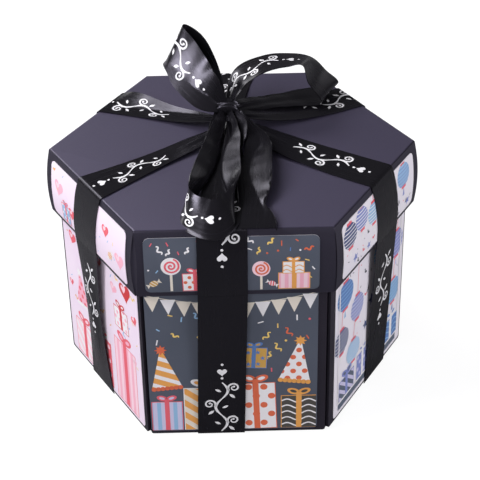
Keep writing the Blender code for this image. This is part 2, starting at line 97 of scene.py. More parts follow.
# By hand the front label and the prints of faces 1 and 2 were glued off the middle, and every print
# was cut a little narrower on each side
LABELS_ASIDE = (-1.1 * MM, 0.0, 0.0, 0.0, 0.0, 0.0)
PRINTS_ASIDE = (-1.75 * MM, 1.2 * MM, 0.0, 0.0, 0.0, 0.0)
PRINTS_NARROWED = (0.65 * MM, 1.6 * MM, 0.5 * MM, 0.5 * MM, 0.5 * MM, 0.7 * MM)

# Sizes of the ribbon and its bow
RIBBON_WIDTH = 20.0 * MM
RIBBON_THICKNESS = 0.3 * MM
BASE_RIBBON_THICKNESS = 0.6 * MM
BASE_BAND_CLEARANCE = 0.8 * MM
RIBBON_LAY = 0.2 * MM
RIBBON_FOLD_RADIUS = 0.9 * MM
RIPPLE_FADE = 6.0 * MM
CROSSING = Vector((-1.0 * MM, 11.0 * MM, 0))
ARM_START = 2.6 * MM
ARM_PLEAT = 0.45 * MM
ARM_STACK = 0.35 * MM
ARM_RIPPLE = 0.02 * MM
ARM_RISES = (5.0 * MM, 5.0 * MM, 6.0 * MM, 5.0 * MM, 4.0 * MM, 1.6 * MM)
STRIP_PLEAT = 0.9 * MM
STRIP_GAP = 0.08 * MM
STRIP_TUCK = 0.6 * MM
KNOT_HEIGHT = 9.6 * MM
KNOT_CENTRE = Vector((-1.8 * MM, 15.0 * MM, LID_TOP + RIBBON_LAY + KNOT_HEIGHT))
KNOT_RADIUS = 5.0 * MM
KNOT_DEPTH = 3.7 * MM
KNOT_FOOT_RADIUS = 4.6 * MM
KNOT_FOOT_TAPER = 2.2 * MM
KNOT_FOOT_TOP = Vector((0, -0.6 * MM, -2.2 * MM))
BOW_REACH = 0.64 * LID_SIDE
BOW_PLEAT = 0.5 * MM
BOW_RIPPLE = 0.07 * MM
TAIL_TURN = 1.3 * MM
EDGE_DRIFT_SHARES = (-0.24, 0.22, 0.42, -0.08, -0.42, 0.04)
SKIRT_DRIFT_SHARES = (-0.25, 0.46, 0.40, -0.05, -0.40, -0.20)
BASE_DRIFT_SHARES = (-0.36, 0.40, 0.32, 0.0, -0.34, -0.22)

# How far printed ink lies over its paper or ribbon and one layer of ink over the next, how deep the
# surfaces' textures are, and how rough a pressed fold of the card is
INK_LIFT = 0.02 * MM
INK_LAYER = 0.006 * MM
RIBBON_INK_LIFT = 0.045 * MM
CARD_TOOTH = 0.04 * MM
PAPER_GRAIN = 0.02 * MM
WEAVE_DEPTH = 0.03 * MM
FOLD_ROUGHNESS = 0.24

# The spot that the lamps face, and each lamp's place, size and power
BOX_MIDDLE = Vector((0, 0, 0.06))
LAMPS = {
    "key_left": ((-0.66, -0.22, 0.58), (0.36, 0.32), 6.0),
    "high_back_left": ((-0.68, 0.58, 1.2), (0.6, 0.5), 10.0),
    "back_left": ((-0.78, 0.7, 0.8), (0.6, 0.5), 2.9),
    "front_left": ((-0.5, -1.3, 0.95), (0.6, 0.45), 5.5),
    "right_fill": ((1.25, -0.55, 0.25), (0.9, 0.5), 12),
    "low_back_left": ((-1.0, 1.2, 0.3), (1.2, 0.4), 4),
    "low_back_right": ((1.0, 1.3, 0.3), (1.2, 0.4), 0.7),
}


def shares(count):
    """Evenly spaced shares from 0 to 1, both ends counted in."""
    return [k / count for k in range(count + 1)]


def with_neighbours(values):
    """Each value with the one after it and the one before it; an end stands in for what is missing."""
    return zip(values, values[1:] + values[-1:], values[:1] + values[:-1])


# Materials and their nodes

def srgb(red, green, blue):
    """A linear colour from the usual 0 to 255 values."""
    def linear(value):
        share = value / 255
        return share / 12.92 if share <= 0.04045 else ((share + 0.055) / 1.055) ** 2.4
    return (linear(red), linear(green), linear(blue), 1)


def set_inputs(shader, values):
    for key, value in values.items():
        shader.inputs[key].default_value = value


def new_material(name, colour, roughness):
    made = bpy.data.materials.new(name)
    made.use_nodes = True
    tree = made.node_tree
    shader = tree.nodes["Principled BSDF"]
    set_inputs(shader, {"Base Color": colour, "Roughness": roughness})
    return made, tree, shader


def feed(tree, socket, value):
    """Sets an input to a value, or links it to another node's output."""
    if isinstance(value, bpy.types.NodeSocket):
        tree.links.new(value, socket)
    else:
        socket.default_value = value


def add_node(tree, kind, inputs=None, output=0, **settings):
    """Adds a shader node and returns its output; an input can be a value or another node's output."""
    made = tree.nodes.new("ShaderNode" + kind)
    for key, value in settings.items():
        setattr(made, key, value)
    for key, value in (inputs or {}).items():
        feed(tree, made.inputs[key], value)
    return made.outputs[output]


def noise(tree, vector, scale, detail):
    return add_node(tree, "TexNoise", {"Vector": vector, "Scale": scale, "Detail": detail}, "Fac")


def spread(tree, value, low, high, from_low=0.3, from_high=0.7):
    """A noise value stretched to run from low to high."""
    inputs = {"Value": value, "From Min": from_low, "From Max": from_high, "To Min": low, "To Max": high}
    return add_node(tree, "MapRange", inputs, "Result")


def mixed(tree, factor, first, second):
    return add_node(tree, "Mix", {0: factor, 6: first, 7: second}, 2, data_type="RGBA")


def combined(tree, first, second, operation="MULTIPLY"):
    return add_node(tree, "Math", {0: first, 1: second}, operation=operation)


def scaled_vector(tree, vector, scale):
    return add_node(tree, "Mapping", {"Vector": vector, "Scale": scale})


def places_of(tree, output="Object"):
    return add_node(tree, "TexCoord", output=output)


def finish_surface(tree, shader, colour, roughness, height=None, strength=0.0, depth=0.0):
    """Links a surface's colour, roughness and, if it has one, its relief."""
    feed(tree, shader.inputs["Base Color"], colour)
    feed(tree, shader.inputs["Roughness"], roughness)
    if height:
        inputs = {"Height": height, "Strength": strength, "Distance": depth}
        feed(tree, shader.inputs["Normal"], add_node(tree, "Bump", inputs))


def card(name, colour, worn, roughness=0.5, top=None):
    """Matt dyed card: short fibres, faint clouding and a fine tooth. With a top colour, the faces that look
    up are painted lighter, a painted sheen for the light they catch, and the pressed folds beside them are
    glossy."""
    made, tree, shader = new_material(name, colour, roughness)
    place = places_of(tree)
    clouds = noise(tree, place, 45.0, 2.0)
    fibres = noise(tree, scaled_vector(tree, place, (1.0, 1.0, 0.35)), 2600.0, 4.0)
    flecks = noise(tree, place, 5200.0, 2.0)
    base = mixed(tree, spread(tree, clouds, 0.0, 0.35), colour, worn)
    gloss = spread(tree, flecks, roughness - 0.06, roughness + 0.08)
    if top:
        # Painted light: faces that look up are mixed towards the lighter top colour, a painted sheen
        facing = add_node(tree, "NewGeometry", output="Normal")
        upward = add_node(tree, "SeparateXYZ", {"Vector": facing}, "Z")
        base = mixed(tree, spread(tree, upward, 0.0, 1.0, 0.7, 0.98), base, top)
        tilted = spread(tree, upward, 0.0, 1.0, 0.3, 0.5)
        fold = combined(tree, tilted, spread(tree, upward, 1.0, 0.0, 0.93, 0.985))
        gloss = add_node(tree, "Mix", {"Factor": fold, "A": gloss, "B": FOLD_ROUGHNESS}, "Result")
    base = mixed(tree, spread(tree, fibres, 0.0, 0.3, 0.45, 0.75), base, worn)
    finish_surface(tree, shader, base, gloss, fibres, 0.25, CARD_TOOTH)
    set_inputs(shader, {"Specular Tint": srgb(214, 205, 238)})
    return made


def art_paper(name, colour, shade):
    """Smooth coated paper under a printed ground, with a faint mottle."""
    made, tree, shader = new_material(name, colour, 0.42)
    place = places_of(tree)
    grain = noise(tree, place, 4200.0, 3.0)
    base = mixed(tree, spread(tree, noise(tree, place, 60.0, 2.0), 0.0, 0.5), colour, shade)
    base = mixed(tree, spread(tree, grain, 0.0, 0.18, 0.4, 0.8), base, shade)
    finish_surface(tree, shader, base, spread(tree, grain, 0.36, 0.5), grain, 0.12, PAPER_GRAIN)
    return made


def printing_ink(name, colour):
    """Flat printing ink with a slight unevenness where the paper shows through."""
    made, tree, shader = new_material("ink_" + name, colour, 0.4)
    speckle = noise(tree, places_of(tree), 3800.0, 3.0)
    lighter = tuple(min(1.0, value * 0.9 + 0.06) for value in colour[:3]) + (1,)
    base = mixed(tree, spread(tree, speckle, 0.0, 0.3, 0.5, 0.8), colour, lighter)
    finish_surface(tree, shader, base, spread(tree, speckle, 0.34, 0.46))
    return made


def satin():
    """Black polyester satin: fine threads along the ribbon, ribs across it, and a soft violet-grey sheen."""
    dark = srgb(14, 13, 16)
    made, tree, shader = new_material("black_satin", dark, 0.36)
    place = places_of(tree, "UV")
    threads = noise(tree, scaled_vector(tree, place, (9000.0, 260.0, 1.0)), 1.0, 2.0)
    ribs = add_node(tree, "TexWave", {"Vector": place, "Scale": 900.0, "Distortion": 0.6}, "Fac",
                    wave_type="BANDS", bands_direction="Y")
    slubs = noise(tree, scaled_vector(tree, place, (700.0, 30.0, 1.0)), 1.0, 2.0)
    base = mixed(tree, spread(tree, threads, 0.0, 0.5), dark, srgb(24, 23, 28))
    weave = combined(tree, ribs, threads)
    finish_surface(tree, shader, base, spread(tree, slubs, 0.2, 0.29), weave, 0.2, WEAVE_DEPTH)
    set_inputs(shader, {"Specular IOR Level": 0.45, "Specular Tint": srgb(228, 222, 246),
                        "Sheen Weight": 0.03, "Sheen Roughness": 0.4, "Sheen Tint": srgb(190, 182, 210)})
    return made


# The lid card's last colour is the painted lighter tone of its upward faces, a painted sheen
LID_CARD = card("lid_card", srgb(38, 36, 46), srgb(48, 45, 57), 0.5, srgb(63, 59, 77))
WALL_CARD = card("wall_card", srgb(34, 31, 38), srgb(50, 46, 56))
INNER_CARD = card("inner_card", srgb(52, 49, 60), srgb(68, 64, 78), 0.6)
SATIN = satin()
PAPERS = {
    "slate": art_paper("slate_paper", srgb(85, 90, 105), srgb(75, 81, 96)),
    "pink": art_paper("pink_paper", srgb(240, 224, 241), srgb(232, 212, 236)),
    "lilac": art_paper("lilac_paper", srgb(238, 232, 242), srgb(228, 222, 236)),
}
PAPER_EDGE = art_paper("paper_edge", srgb(196, 192, 200), srgb(170, 166, 176))
FACE_THEMES = ("slate", "lilac", "pink", "slate", "lilac", "pink")
THEME_SLOTS = {"slate": "printed_paper_dark", "pink": "printed_paper_pink", "lilac": "printed_paper_lilac"}
INKS = {
    name: printing_ink(name, colour) for name, colour in {
        "white": srgb(240, 236, 242), "cream": srgb(232, 222, 212), "orange": srgb(233, 164, 88),
        "coral": srgb(222, 108, 76), "mustard": srgb(205, 160, 84), "sky": srgb(150, 188, 226),
        "blue": srgb(92, 128, 190), "periwinkle": srgb(132, 142, 202), "navy": srgb(74, 84, 128),
        "umber": srgb(78, 74, 72), "rose": srgb(232, 100, 116), "pink": srgb(244, 178, 200),
        "blush": srgb(249, 212, 226), "red": srgb(205, 52, 58), "lavender": srgb(206, 200, 232),
        "yellow": srgb(240, 204, 116), "slate": srgb(96, 104, 122), "ink_grey": srgb(60, 62, 76),
    }.items()
}
RIBBON_INK = printing_ink("ribbon_white", srgb(232, 230, 236))


# Meshes and places

def add_object(name, data):
    made = bpy.data.objects.new(name, data)
    bpy.context.scene.collection.objects.link(made)
    return made


def link_mesh(name, bm, materials, body, smooth_angle=None):
    """Turns a bmesh into a named piece that rides on a body."""
    mesh = bpy.data.meshes.new(name)
    bm.to_mesh(mesh)
    bm.free()
    for surface in materials:
        mesh.materials.append(surface)
    if smooth_angle is not None:
        mesh.shade_smooth()
        mesh.set_sharp_from_angle(angle=smooth_angle)
    piece = add_object(name, mesh)
    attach(piece, body)
    return piece


def face_axes(index):
    """Unit vectors along a face and out of it."""
    turn = Matrix.Rotation(index * SIDE_ANGLE, 3, "Z")
    return turn @ Vector((1, 0, 0)), turn @ Vector((0, -1, 0))


def hexagon_corners(side, height):
    """Corner 0 is the front left one, and the front face lies between corners 0 and 1."""
    first = -pi / 2 - SIDE_ANGLE / 2
    angles = [first + k * SIDE_ANGLE for k in range(SIDES)]
    return [Vector((side * cos(angle), side * sin(angle), height)) for angle in angles]


def flap_side(height):
    """The lid's side length at a height: the flaps flare and bow outward below the fold."""
    drop = min(1.0, max(0.0, (LID_TOP - height) / LID_DEPTH))
    return LID_SIDE + SKIRT_FLARE * drop + SKIRT_BOW * 4 * drop * (1 - drop)


def wall_spot(index, across, height, lift):
    """A point over a wall's glued print."""
    along, outward = face_axes(index)
    return along * (across + PRINTS_ASIDE[index]) + outward * (BOX_APOTHEM + PRINT_PROUD + lift) + UP * height


def flap_spot(index, across, height, lift):
    """A point over the label on a flap of the lid."""
    along, outward = face_axes(index)
    reach = flap_side(height) * APOTHEM_SHARE + PRINT_PROUD + lift
    return along * (across + LABELS_ASIDE[index]) + outward * reach + UP * height


def skin(bm, rows):
    """Faces between rows of equally many vertices."""
    for lower, upper in zip(rows, rows[1:]):
        for k in range(len(lower) - 1):
            bm.faces.new((lower[k], lower[k + 1], upper[k + 1], upper[k]))


def loft(bm, rings):
    """Skins rings of equally many points, closes both ends and turns the faces outward."""
    loops = [[bm.verts.new(point) for point in ring] for ring in rings]
    skin(bm, [loop + loop[:1] for loop in loops])
    bm.faces.new(loops[0])
    bm.faces.new(loops[-1])
    bmesh.ops.recalc_face_normals(bm, faces=bm.faces)


def lay_weave(bm, place):
    """Keeps each vertex's place across and along the ribbon as texture coordinates."""
    weave = bm.loops.layers.uv.new("weave")
    for face in bm.faces:
        for loop in face.loops:
            loop[weave].uv = place(loop.vert)


# The lid

def seamed_ring(side, height, share):
    """A hexagon with a dark groove at each corner, where two flaps meet; the front left one gapes."""
    width = SEAM_WIDTH_TOP + (SEAM_WIDTH_BOTTOM - SEAM_WIDTH_TOP) * share
    points = []
    corners = hexagon_corners(side, height)
    for k, corner in enumerate(corners):
        before = (corners[k - 1] - corner).normalized()
        after = (corners[(k + 1) % SIDES] - corner).normalized()
        gape = sin(pi * share) if k == 0 else 0.0
        wide = width + OPEN_SEAM_WIDTH * gape
        deep = min(share / SEAM_START_SHARE, 1.0) * SEAM_DEPTH + (OPEN_SEAM_DEPTH - SEAM_DEPTH) * gape
        groove = corner - Vector((corner.x, corner.y, 0)).normalized() * deep
        points += [corner + before * wide, groove + before * wide / 3,
                   groove + after * wide / 3, corner + after * wide]
    return points


def make_lid():
    """The lid's card shell, with its rounded folds, bowed flaps and cut lower rim."""
    first, underside = LID_TOP - LID_FOLD_RADIUS, LID_TOP - BOARD
    rim = SKIRT_FOOT + RIM_ROUND
    levels = shares(14)
    profile = []
    for share in shares(5):
        angle = share * pi / 2
        height = first + LID_FOLD_RADIUS * cos(angle)
        profile.append((height, LID_FOLD_RADIUS * (1 - sin(angle)), 0.0))
    profile += [(first + (rim - first) * share, 0.0, share) for share in levels[1:]]
    profile += [(SKIRT_FOOT, RIM_ROUND, 1.0), (SKIRT_FOOT, BOARD - RIM_ROUND, 0.0)]
    profile += [(rim + (underside - rim) * share, BOARD, 0.0) for share in levels[:-1]]
    rings = [seamed_ring(flap_side(height) - inset / APOTHEM_SHARE, height, depth_share)
             for height, inset, depth_share in profile]
    rings.append(seamed_ring(LID_SIDE - BOARD / APOTHEM_SHARE, underside, 0.0))
    bm = bmesh.new()
    loft(bm, rings)
    lid = link_mesh("lid_shell", bm, [LID_CARD], "lid", radians(32))
    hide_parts("lid")


# Paper panels

def rounded_rows(half, low, high, radius, levels):
    """Heights and half widths of a rectangle with rounded corners, with level rows between."""
    corner = []
    for share in shares(6):
        angle = share * pi / 2
        corner.append((radius * (1 - cos(angle)), half - radius * (1 - sin(angle))))
    span = high - low - 2 * radius
    rows = [(low + rise, wide) for rise, wide in corner]
    rows += [(low + radius + span * share, half) for share in shares(levels)[1:-1]]
    return rows + [(high - rise, wide) for rise, wide in reversed(corner)]


def box_extent(box):
    """Half the width, and the lowest and highest point, of a print on the front face."""
    return (box[1].x - box[0].x) / 2, box[0].z, box[1].z


# Flat shapes for the printed designs, as lists of (across, up) points in millimetres

def circle(x, y, radius, count=20, squash=1.0):
    angles = [k / count * tau for k in range(count)]
    return [(x + radius * cos(a), y + radius * squash * sin(a)) for a in angles]


def rectangle(x, y, width, height):
    """x is the middle and y the foot."""
    half = width / 2
    return [(x - half, y), (x + half, y), (x + half, y + height), (x - half, y + height)]


def polar(x, y, reach, angle):
    return x + reach * cos(angle), y + reach * sin(angle)


def star(x, y, radius, points=5, inner_share=0.45, turn=0.0):
    return [polar(x, y, radius * (inner_share if k % 2 else 1), turn + pi / 2 + k * pi / points)
            for k in range(points * 2)]


def turned(points, x, y, turn):
    """A flat shape turned about a point."""
    cosine, sine = cos(turn), sin(turn)
    steps = [(px - x, py - y) for px, py in points]
    return [(x + right * cosine - up * sine, y + right * sine + up * cosine) for right, up in steps]


def heart(x, y, size, turn):
    """The heart curve: a cube of the sine across, and four cosines up."""
    heights = (0.41, -0.16, -0.06, -0.03)
    count = 26
    outline = []
    for k in range(count):
        angle = -k / count * tau
        rise = sum(part * cos((order + 1) * angle) for order, part in enumerate(heights))
        outline.append((x + size * 0.5 * sin(angle) ** 3, y + size * rise))
    return turned(outline, x, y, turn)


def stroke(points, widths):
    """Quads along a line of points, each with its own width."""
    sides = []
    for ((x, y), ahead, behind), width in zip(with_neighbours(points), widths):
        run = Vector((ahead[0] - behind[0], ahead[1] - behind[1]))
        run = run.normalized() if run.length else Vector((1, 0))
        half = width / 2
        sides.append(((x + run.y * half, y - run.x * half), (x - run.y * half, y + run.x * half)))
    return [[a[0], b[0], b[1], a[1]] for a, b in zip(sides, sides[1:])]


def extent(points):
    """The left, right, lowest and highest places of a flat shape."""
    xs, ys = zip(*points)
    return min(xs), max(xs), min(ys), max(ys)


def clipped(points, outline):
    """The part of a polygon that lies inside a convex outline, which runs anticlockwise."""
    for (ax, ay), (bx, by) in zip(outline, outline[1:] + outline[:1]):
        sides = [(bx - ax) * (y - ay) - (by - ay) * (x - ax) for x, y in points]
        kept = []
        for k, (x, y) in enumerate(points):
            after = (k + 1) % len(points)
            if sides[k] >= 0:
                kept.append((x, y))
            if sides[k] * sides[after] < 0:
                share = sides[k] / (sides[k] - sides[after])
                kept.append((x + (points[after][0] - x) * share, y + (points[after][1] - y) * share))
        points = kept
        if len(points) < 3:
            return []
    return points


class Artwork:
    """The printed shapes of one panel, gathered flat and then laid on the panel."""

    def __init__(self, half, low, high):
        self.bm = bmesh.new()
        self.inks = []
        self.half, self.low, self.high = half / MM, low / MM, high / MM

    def fill(self, points, ink, layer):
        if len(points) < 3:
            return
        if ink not in self.inks:
            self.inks.append(ink)
        face = self.bm.faces.new([self.bm.verts.new((x, layer, y)) for x, y in points])
        face.material_index = self.inks.index(ink)

    def line(self, points, width, ink, layer):
        """The width is one number, or one for each point."""
        for quad in stroke(points, width if isinstance(width, list) else [width] * len(points)):
            self.fill(quad, ink, layer)

    def cut(self, place, normal, clear):
        geometry = self.bm.verts[:] + self.bm.edges[:] + self.bm.faces[:]
        bmesh.ops.bisect_plane(self.bm, geom=geometry, plane_co=place, plane_no=normal, clear_outer=clear)

    def lay(self, name, index, spot, body, slot, bands):
        """Cuts off what reaches past the panel's edge, follows the panel's bow by cutting the shapes at
        level lines, then moves each point onto it."""
        margin = PRINT_MARGIN / MM
        right = self.half - margin
        for place, normal in (((-right, 0, 0), (-1, 0, 0)), ((right, 0, 0), (1, 0, 0)),
                              ((0, 0, self.low + margin), (0, 0, -1)),
                              ((0, 0, self.high - margin), (0, 0, 1))):
            self.cut(place, normal, True)
        for share in shares(bands)[1:-1]:
            self.cut((0, 0, self.low + (self.high - self.low) * share), (0, 0, 1), False)
        for vert in self.bm.verts:
            across, layer, height = vert.co
            vert.co = spot(index, across * MM, height * MM, INK_LIFT + layer * INK_LAYER)
        return link_mesh(name, self.bm, [INKS[ink] for ink in self.inks], body)


def stripes(art, outline, turn, pitch, width, ink, layer):
    """Straight stripes inside a convex outline."""
    left, right, low, high = extent(outline)
    x, y = (sum(values) / len(outline) for values in zip(*outline))
    reach = max(right - left, high - low)
    count = int(reach / pitch) + 1
    for k in range(-count, count + 1):
        bar = turned(rectangle(x + k * pitch, y - reach, width, 2 * reach), x, y, turn)
        art.fill(clipped(bar, outline), ink, layer)


def spots(art, outline, pitch, radius, ink, layer, shape=circle):
    """Staggered dots or stars inside a convex outline."""
    left, right, low, high = extent(outline)
    row = 0
    y = low + pitch * 0.5
    while y < high:
        x = left + (0.3 if row % 2 else 0.8) * pitch
        while x < right:
            art.fill(clipped(shape(x, y, radius), outline), ink, layer)
            x += pitch
        y += pitch * 0.75
        row += 1


def wave(x, y, length, height, turns, count):
    """A wavy line that starts at (x, y)."""
    return [(x + length * share, y + height * sin(share * tau * turns)) for share in shares(count)]


def waves(art, outline, pitch, height, width, ink, layer):
    """Rows of wavy lines inside a convex outline."""
    left, right, low, high = extent(outline)
    y = low + pitch / 2
    while y < high:
        line = wave(left, y, right - left, height, 1.6, 26)
        for quad in stroke(line, [width] * len(line)):
            art.fill(clipped(quad, outline), ink, layer)
        y += pitch


def loops_of_bow(art, x, y, size, ink, edge, layer):
    """Two loops and a knot, as on a wrapped parcel."""
    for side in (-1, 1):
        loop = circle(x + side * size * 0.55, y + size * 0.3, size * 0.55, 16, 0.55)
        hole = circle(x + side * size * 0.58, y + size * 0.3, size * 0.28, 12, 0.5)
        art.fill(turned(loop, x, y, side * 0.35), ink, layer)
        art.fill(turned(hole, x, y, side * 0.35), edge, layer + 1)
    art.fill(circle(x, y + size * 0.2, size * 0.24, 12), ink, layer + 2)


def parcel(art, x, y, width, height, body, band, pattern, lean=0.0, layer=1):
    """A wrapped parcel with a patterned paper, a band and a bow."""
    outline = turned(rectangle(x, y, width, height), x, y, lean)
    art.fill(turned(rectangle(x, y - 0.35, width + 0.7, height + 0.7), x, y, lean), band, layer)
    art.fill(outline, body, layer + 1)
    kind, ink, size = pattern
    if kind in ("stripes", "bars"):
        tilt, share = (0.9, 0.45) if kind == "stripes" else (0.0, 0.5)
        stripes(art, outline, tilt + lean, size, size * share, ink, layer + 2)
    elif kind == "dots":
        spots(art, outline, size, size * 0.24, ink, layer + 2)
    elif kind == "stars":
        spots(art, outline, size, size * 0.3, ink, layer + 2, star)
    elif kind == "waves":
        waves(art, outline, size, size * 0.28, size * 0.2, ink, layer + 2)
    art.fill(turned(rectangle(x, y, width * 0.16, height), x, y, lean), band, layer + 3)
    top = turned([(x, y + height)], x, y, lean)[0]
    loops_of_bow(art, *top, width * 0.36, band, body, layer + 4)


def party_hat(art, x, y, width, height, body, trim, pattern, lean):
    """A pointed paper hat with a frill and a tuft."""
    layer = 8
    half, tip_half = width / 2, width * 0.03
    flat = [(x - half, y), (x + half, y), (x + tip_half, y + height), (x - tip_half, y + height)]
    outline = turned(flat, x, y, lean)
    art.fill(outline, body, layer)
    kind, ink, size = pattern
    if kind == "stripes":
        stripes(art, outline, 1.1 + lean, size, size * 0.42, ink, layer + 1)
    else:
        spots(art, outline, size, size * 0.25, ink, layer + 1)
    frills = 7
    beads = turned([(x + width * ((k + 0.5) / frills - 0.5), y) for k in range(frills)], x, y, lean)
    for bead in beads:
        art.fill(circle(*bead, width * 0.085, 12), trim, layer + 2)
    tip = turned([(x, y + height)], x, y, lean)[0]
    art.fill(star(*tip, width * 0.2, 8, 0.55), trim, layer + 2)


def bunting(art, left, right, y, sag, flags, size, inks):
    """A string of little flags hung in a shallow curve."""
    def hang(share):
        return left + (right - left) * share, y - sag * 4 * share * (1 - share)
    art.line([hang(share) for share in shares(24)], 0.35, inks[0], 1)
    for k in range(flags):
        x, top = hang((k + 0.5) / flags)
        art.fill([(x - size * 0.42, top), (x, top - size), (x + size * 0.42, top)], inks[k % len(inks)], 2)


def squiggle(art, x, y, length, turn, ink):
    """A little curl of paper streamer."""
    line = wave(x - length / 2, y, length, length * 0.16, 1.5, 14)
    widths = [0.5 + 0.25 * sin(pi * share) for share in shares(14)]
    art.line(turned(line, x, y, turn), widths, ink, 1)


def confetti(art, rng, box, count, inks, size=1.0):
    """Scattered curls, dashes and dots, kept apart from each other."""
    left, right, low, high = box
    placed = []
    tries = 0
    while len(placed) < count and tries < count * 30:
        tries += 1
        x, y = rng.uniform(left, right), rng.uniform(low, high)
        if any((x - px) ** 2 + (y - py) ** 2 < (4.2 * size) ** 2 for px, py in placed):
            continue
        placed.append((x, y))
        ink = rng.choice(inks)
        turn = rng.uniform(-1.3, 1.3)
        kind = rng.random()
        if kind < 0.4:
            squiggle(art, x, y, rng.uniform(3.6, 5.2) * size, turn, ink)
        elif kind < 0.8:
            length = rng.uniform(1.6, 2.8) * size
            art.fill(turned(rectangle(x, y - length / 2, 0.55 * size, length), x, y, turn), ink, 1)
        else:
            art.fill(circle(x, y, 0.55 * size, 10), ink, 1)


def lollipop(art, x, y, radius, body, swirl):
    """A round sweet with a swirl, on a stick."""
    art.fill(rectangle(x, y - radius * 3.0, radius * 0.26, radius * 2.4), "cream", 1)
    art.fill(circle(x, y, radius, 24), body, 2)
    line = [polar(x, y, radius * 0.86 * share, share * tau * 2.2) for share in shares(40)]
    art.line(line, radius * 0.2, swirl, 3)


def wrapped_sweet(art, x, y, size, body, wrap, turn, layer=1):
    """A sweet in twisted paper."""
    for side in (-1, 1):
        fan = [(x + side * size * 0.5, y), (x + side * size * 1.05, y - size * 0.42),
               (x + side * size * 0.95, y), (x + side * size * 1.05, y + size * 0.42)]
        art.fill(turned(fan if side > 0 else fan[::-1], x, y, turn), wrap, layer)
    outline = turned(circle(x, y, size * 0.62, 20, 0.78), x, y, turn)
    art.fill(outline, body, layer + 1)
    stripes(art, outline, turn + 0.4, size * 0.4, size * 0.15, wrap, layer + 2)


def lantern(art, x, y, width, height, body, rib, layer, cord_length=12.0):
    """A paper lantern with ribs, hung on a thread."""
    half_height = height * 0.5
    art.line([(x, y + half_height), (x + 0.6, y + half_height + cord_length)], 0.3, "rose", layer)
    art.fill(circle(x, y, width / 2, 24, height / width), body, layer + 1)
    for share in shares(7)[1:-1]:
        level = y + height * (share - 0.5)
        half = width / 2 * sqrt(max(0.0, 1 - (2 * (level - y) / height) ** 2))
        arc = [(x + half * (s / 6 - 1), level - 0.5 * (1 - (s / 6 - 1) ** 2)) for s in range(13)]
        art.line(arc, 0.42, rib, layer + 2)
    for edge in (-1, 1):
        art.fill(rectangle(x, y + edge * half_height - 0.6, width * 0.34, 1.2), "rose", layer + 3)
    foot = y - half_height
    art.fill([(x - 0.9, foot - 4.2), (x + 0.9, foot - 4.2), (x, foot)], rib, layer + 1)


# The printed designs, laid out in millimetres

def slate_wall(art, rng):
    parcel(art, -28.0, 3, 12.5, 15, "lavender", "rose", ("bars", "sky", 3.4))
    parcel(art, -12.0, 3, 17, 22, "orange", "white", ("stripes", "cream", 5.0))
    party_hat(art, -27.5, 25.5, 13, 20, "orange", "coral", ("stripes", "white", 4.6), 0.1)
    parcel(art, 27.5, 3, 14.5, 17, "umber", "orange", ("waves", "white", 3.2))
    parcel(art, 10.0, 3, 16, 24, "white", "coral", ("dots", "coral", 6.4), 0.03, 9)
    party_hat(art, 25.5, 28, 13.5, 21, "white", "orange", ("dots", "coral", 4.8), -0.12)
    parcel(art, 8.5, 35.5, 10.5, 10, "mustard", "blue", ("stars", "blue", 4.0), -0.05, 16)
    bunting(art, -35, 35, 73, 5.0, 11, 7.4, ("cream", "white", "cream"))
    bunting(art, -35, 35, 93, 4.0, 10, 6.4, ("orange", "sky", "rose", "cream"))
    confetti(art, rng, (-33, 33, 49, 63), 22, ("rose", "yellow", "white", "yellow", "coral", "sky"))
    confetti(art, rng, (-33, 33, 77, 88), 16, ("rose", "yellow", "white", "blue"))
    confetti(art, rng, (14, 19, 30, 46), 3, ("rose", "yellow"))


def slate_label(art, rng):
    foot = art.low
    lollipop(art, -24, foot + 12.5, 4.0, "white", "rose")
    parcel(art, -14.5, foot + 0.8, 9.5, 8.0, "white", "rose", ("dots", "coral", 3.2), 0.02, 6)
    wrapped_sweet(art, -31.0, foot + 4.4, 3.0, "mustard", "cream", 0.5)
    parcel(art, 24.5, foot + 0.8, 12.0, 7.4, "blush", "orange", ("bars", "pink", 3.0))
    parcel(art, 24.2, foot + 8.4, 8.0, 5.0, "white", "orange", ("waves", "orange", 2.0), 0.0, 9)
    lollipop(art, 11.5, foot + 10.5, 3.6, "blush", "coral")
    wrapped_sweet(art, 15.8, foot + 3.4, 2.5, "rose", "white", -0.5, 6)
    confetti(art, rng, (-33, -6, foot + 17, foot + 23.5), 9, ("white", "sky", "rose", "yellow"), 0.8)
    confetti(art, rng, (4, 33, foot + 17.5, foot + 23.5), 12, ("white", "blue", "coral", "yellow"), 0.8)
    confetti(art, rng, (29, 33.5, foot + 4, foot + 16), 3, ("white", "yellow"), 0.8)
    confetti(art, rng, (-33.5, -29, foot + 9, foot + 16), 2, ("white", "sky"), 0.8)


def lit_heart(art, x, y, size, ink, turn, light_share, light_turn):
    """A heart with a small light one on its upper left."""
    art.fill(heart(x, y, size, turn), ink, 2)
    art.fill(heart(x - size * 0.14, y + size * 0.1, size * light_share, light_turn), "blush", 3)


def pink_wall(art, rng):
    parcel(art, 20.0, 4, 19, 32, "pink", "rose", ("bars", "blush", 4.2))
    parcel(art, 19.0, 44, 12, 10, "white", "red", ("dots", "pink", 3.8), 0.06, 10)
    parcel(art, -21, 4, 17, 18, "blush", "rose", ("stripes", "white", 4.4))
    parcel(art, -1, 4, 14, 24, "rose", "white", ("dots", "blush", 5.0))
    party_hat(art, -20, 33, 12, 17, "pink", "white", ("dots", "rose", 4.4), 0.1)
    for x, y, size, ink, turn in (
            (24, 66, 10, "red", 0.2), (13, 62, 6, "pink", -0.3), (31, 56, 5, "rose", 0.4),
            (-12, 60, 8, "pink", 0.25), (-26, 66, 7, "rose", -0.2), (0, 68, 5, "rose", 0.1),
            (29, 33, 4, "pink", 0.3), (-31, 40, 4, "rose", 0.1)):
        lit_heart(art, x, y, size, ink, turn, 0.42, turn)
    bunting(art, -35, 35, 90, 4.0, 10, 7.0, ("rose", "blush", "pink"))
    confetti(art, rng, (-33, 33, 26, 84), 26, ("orange", "yellow", "sky", "orange"), 0.85)


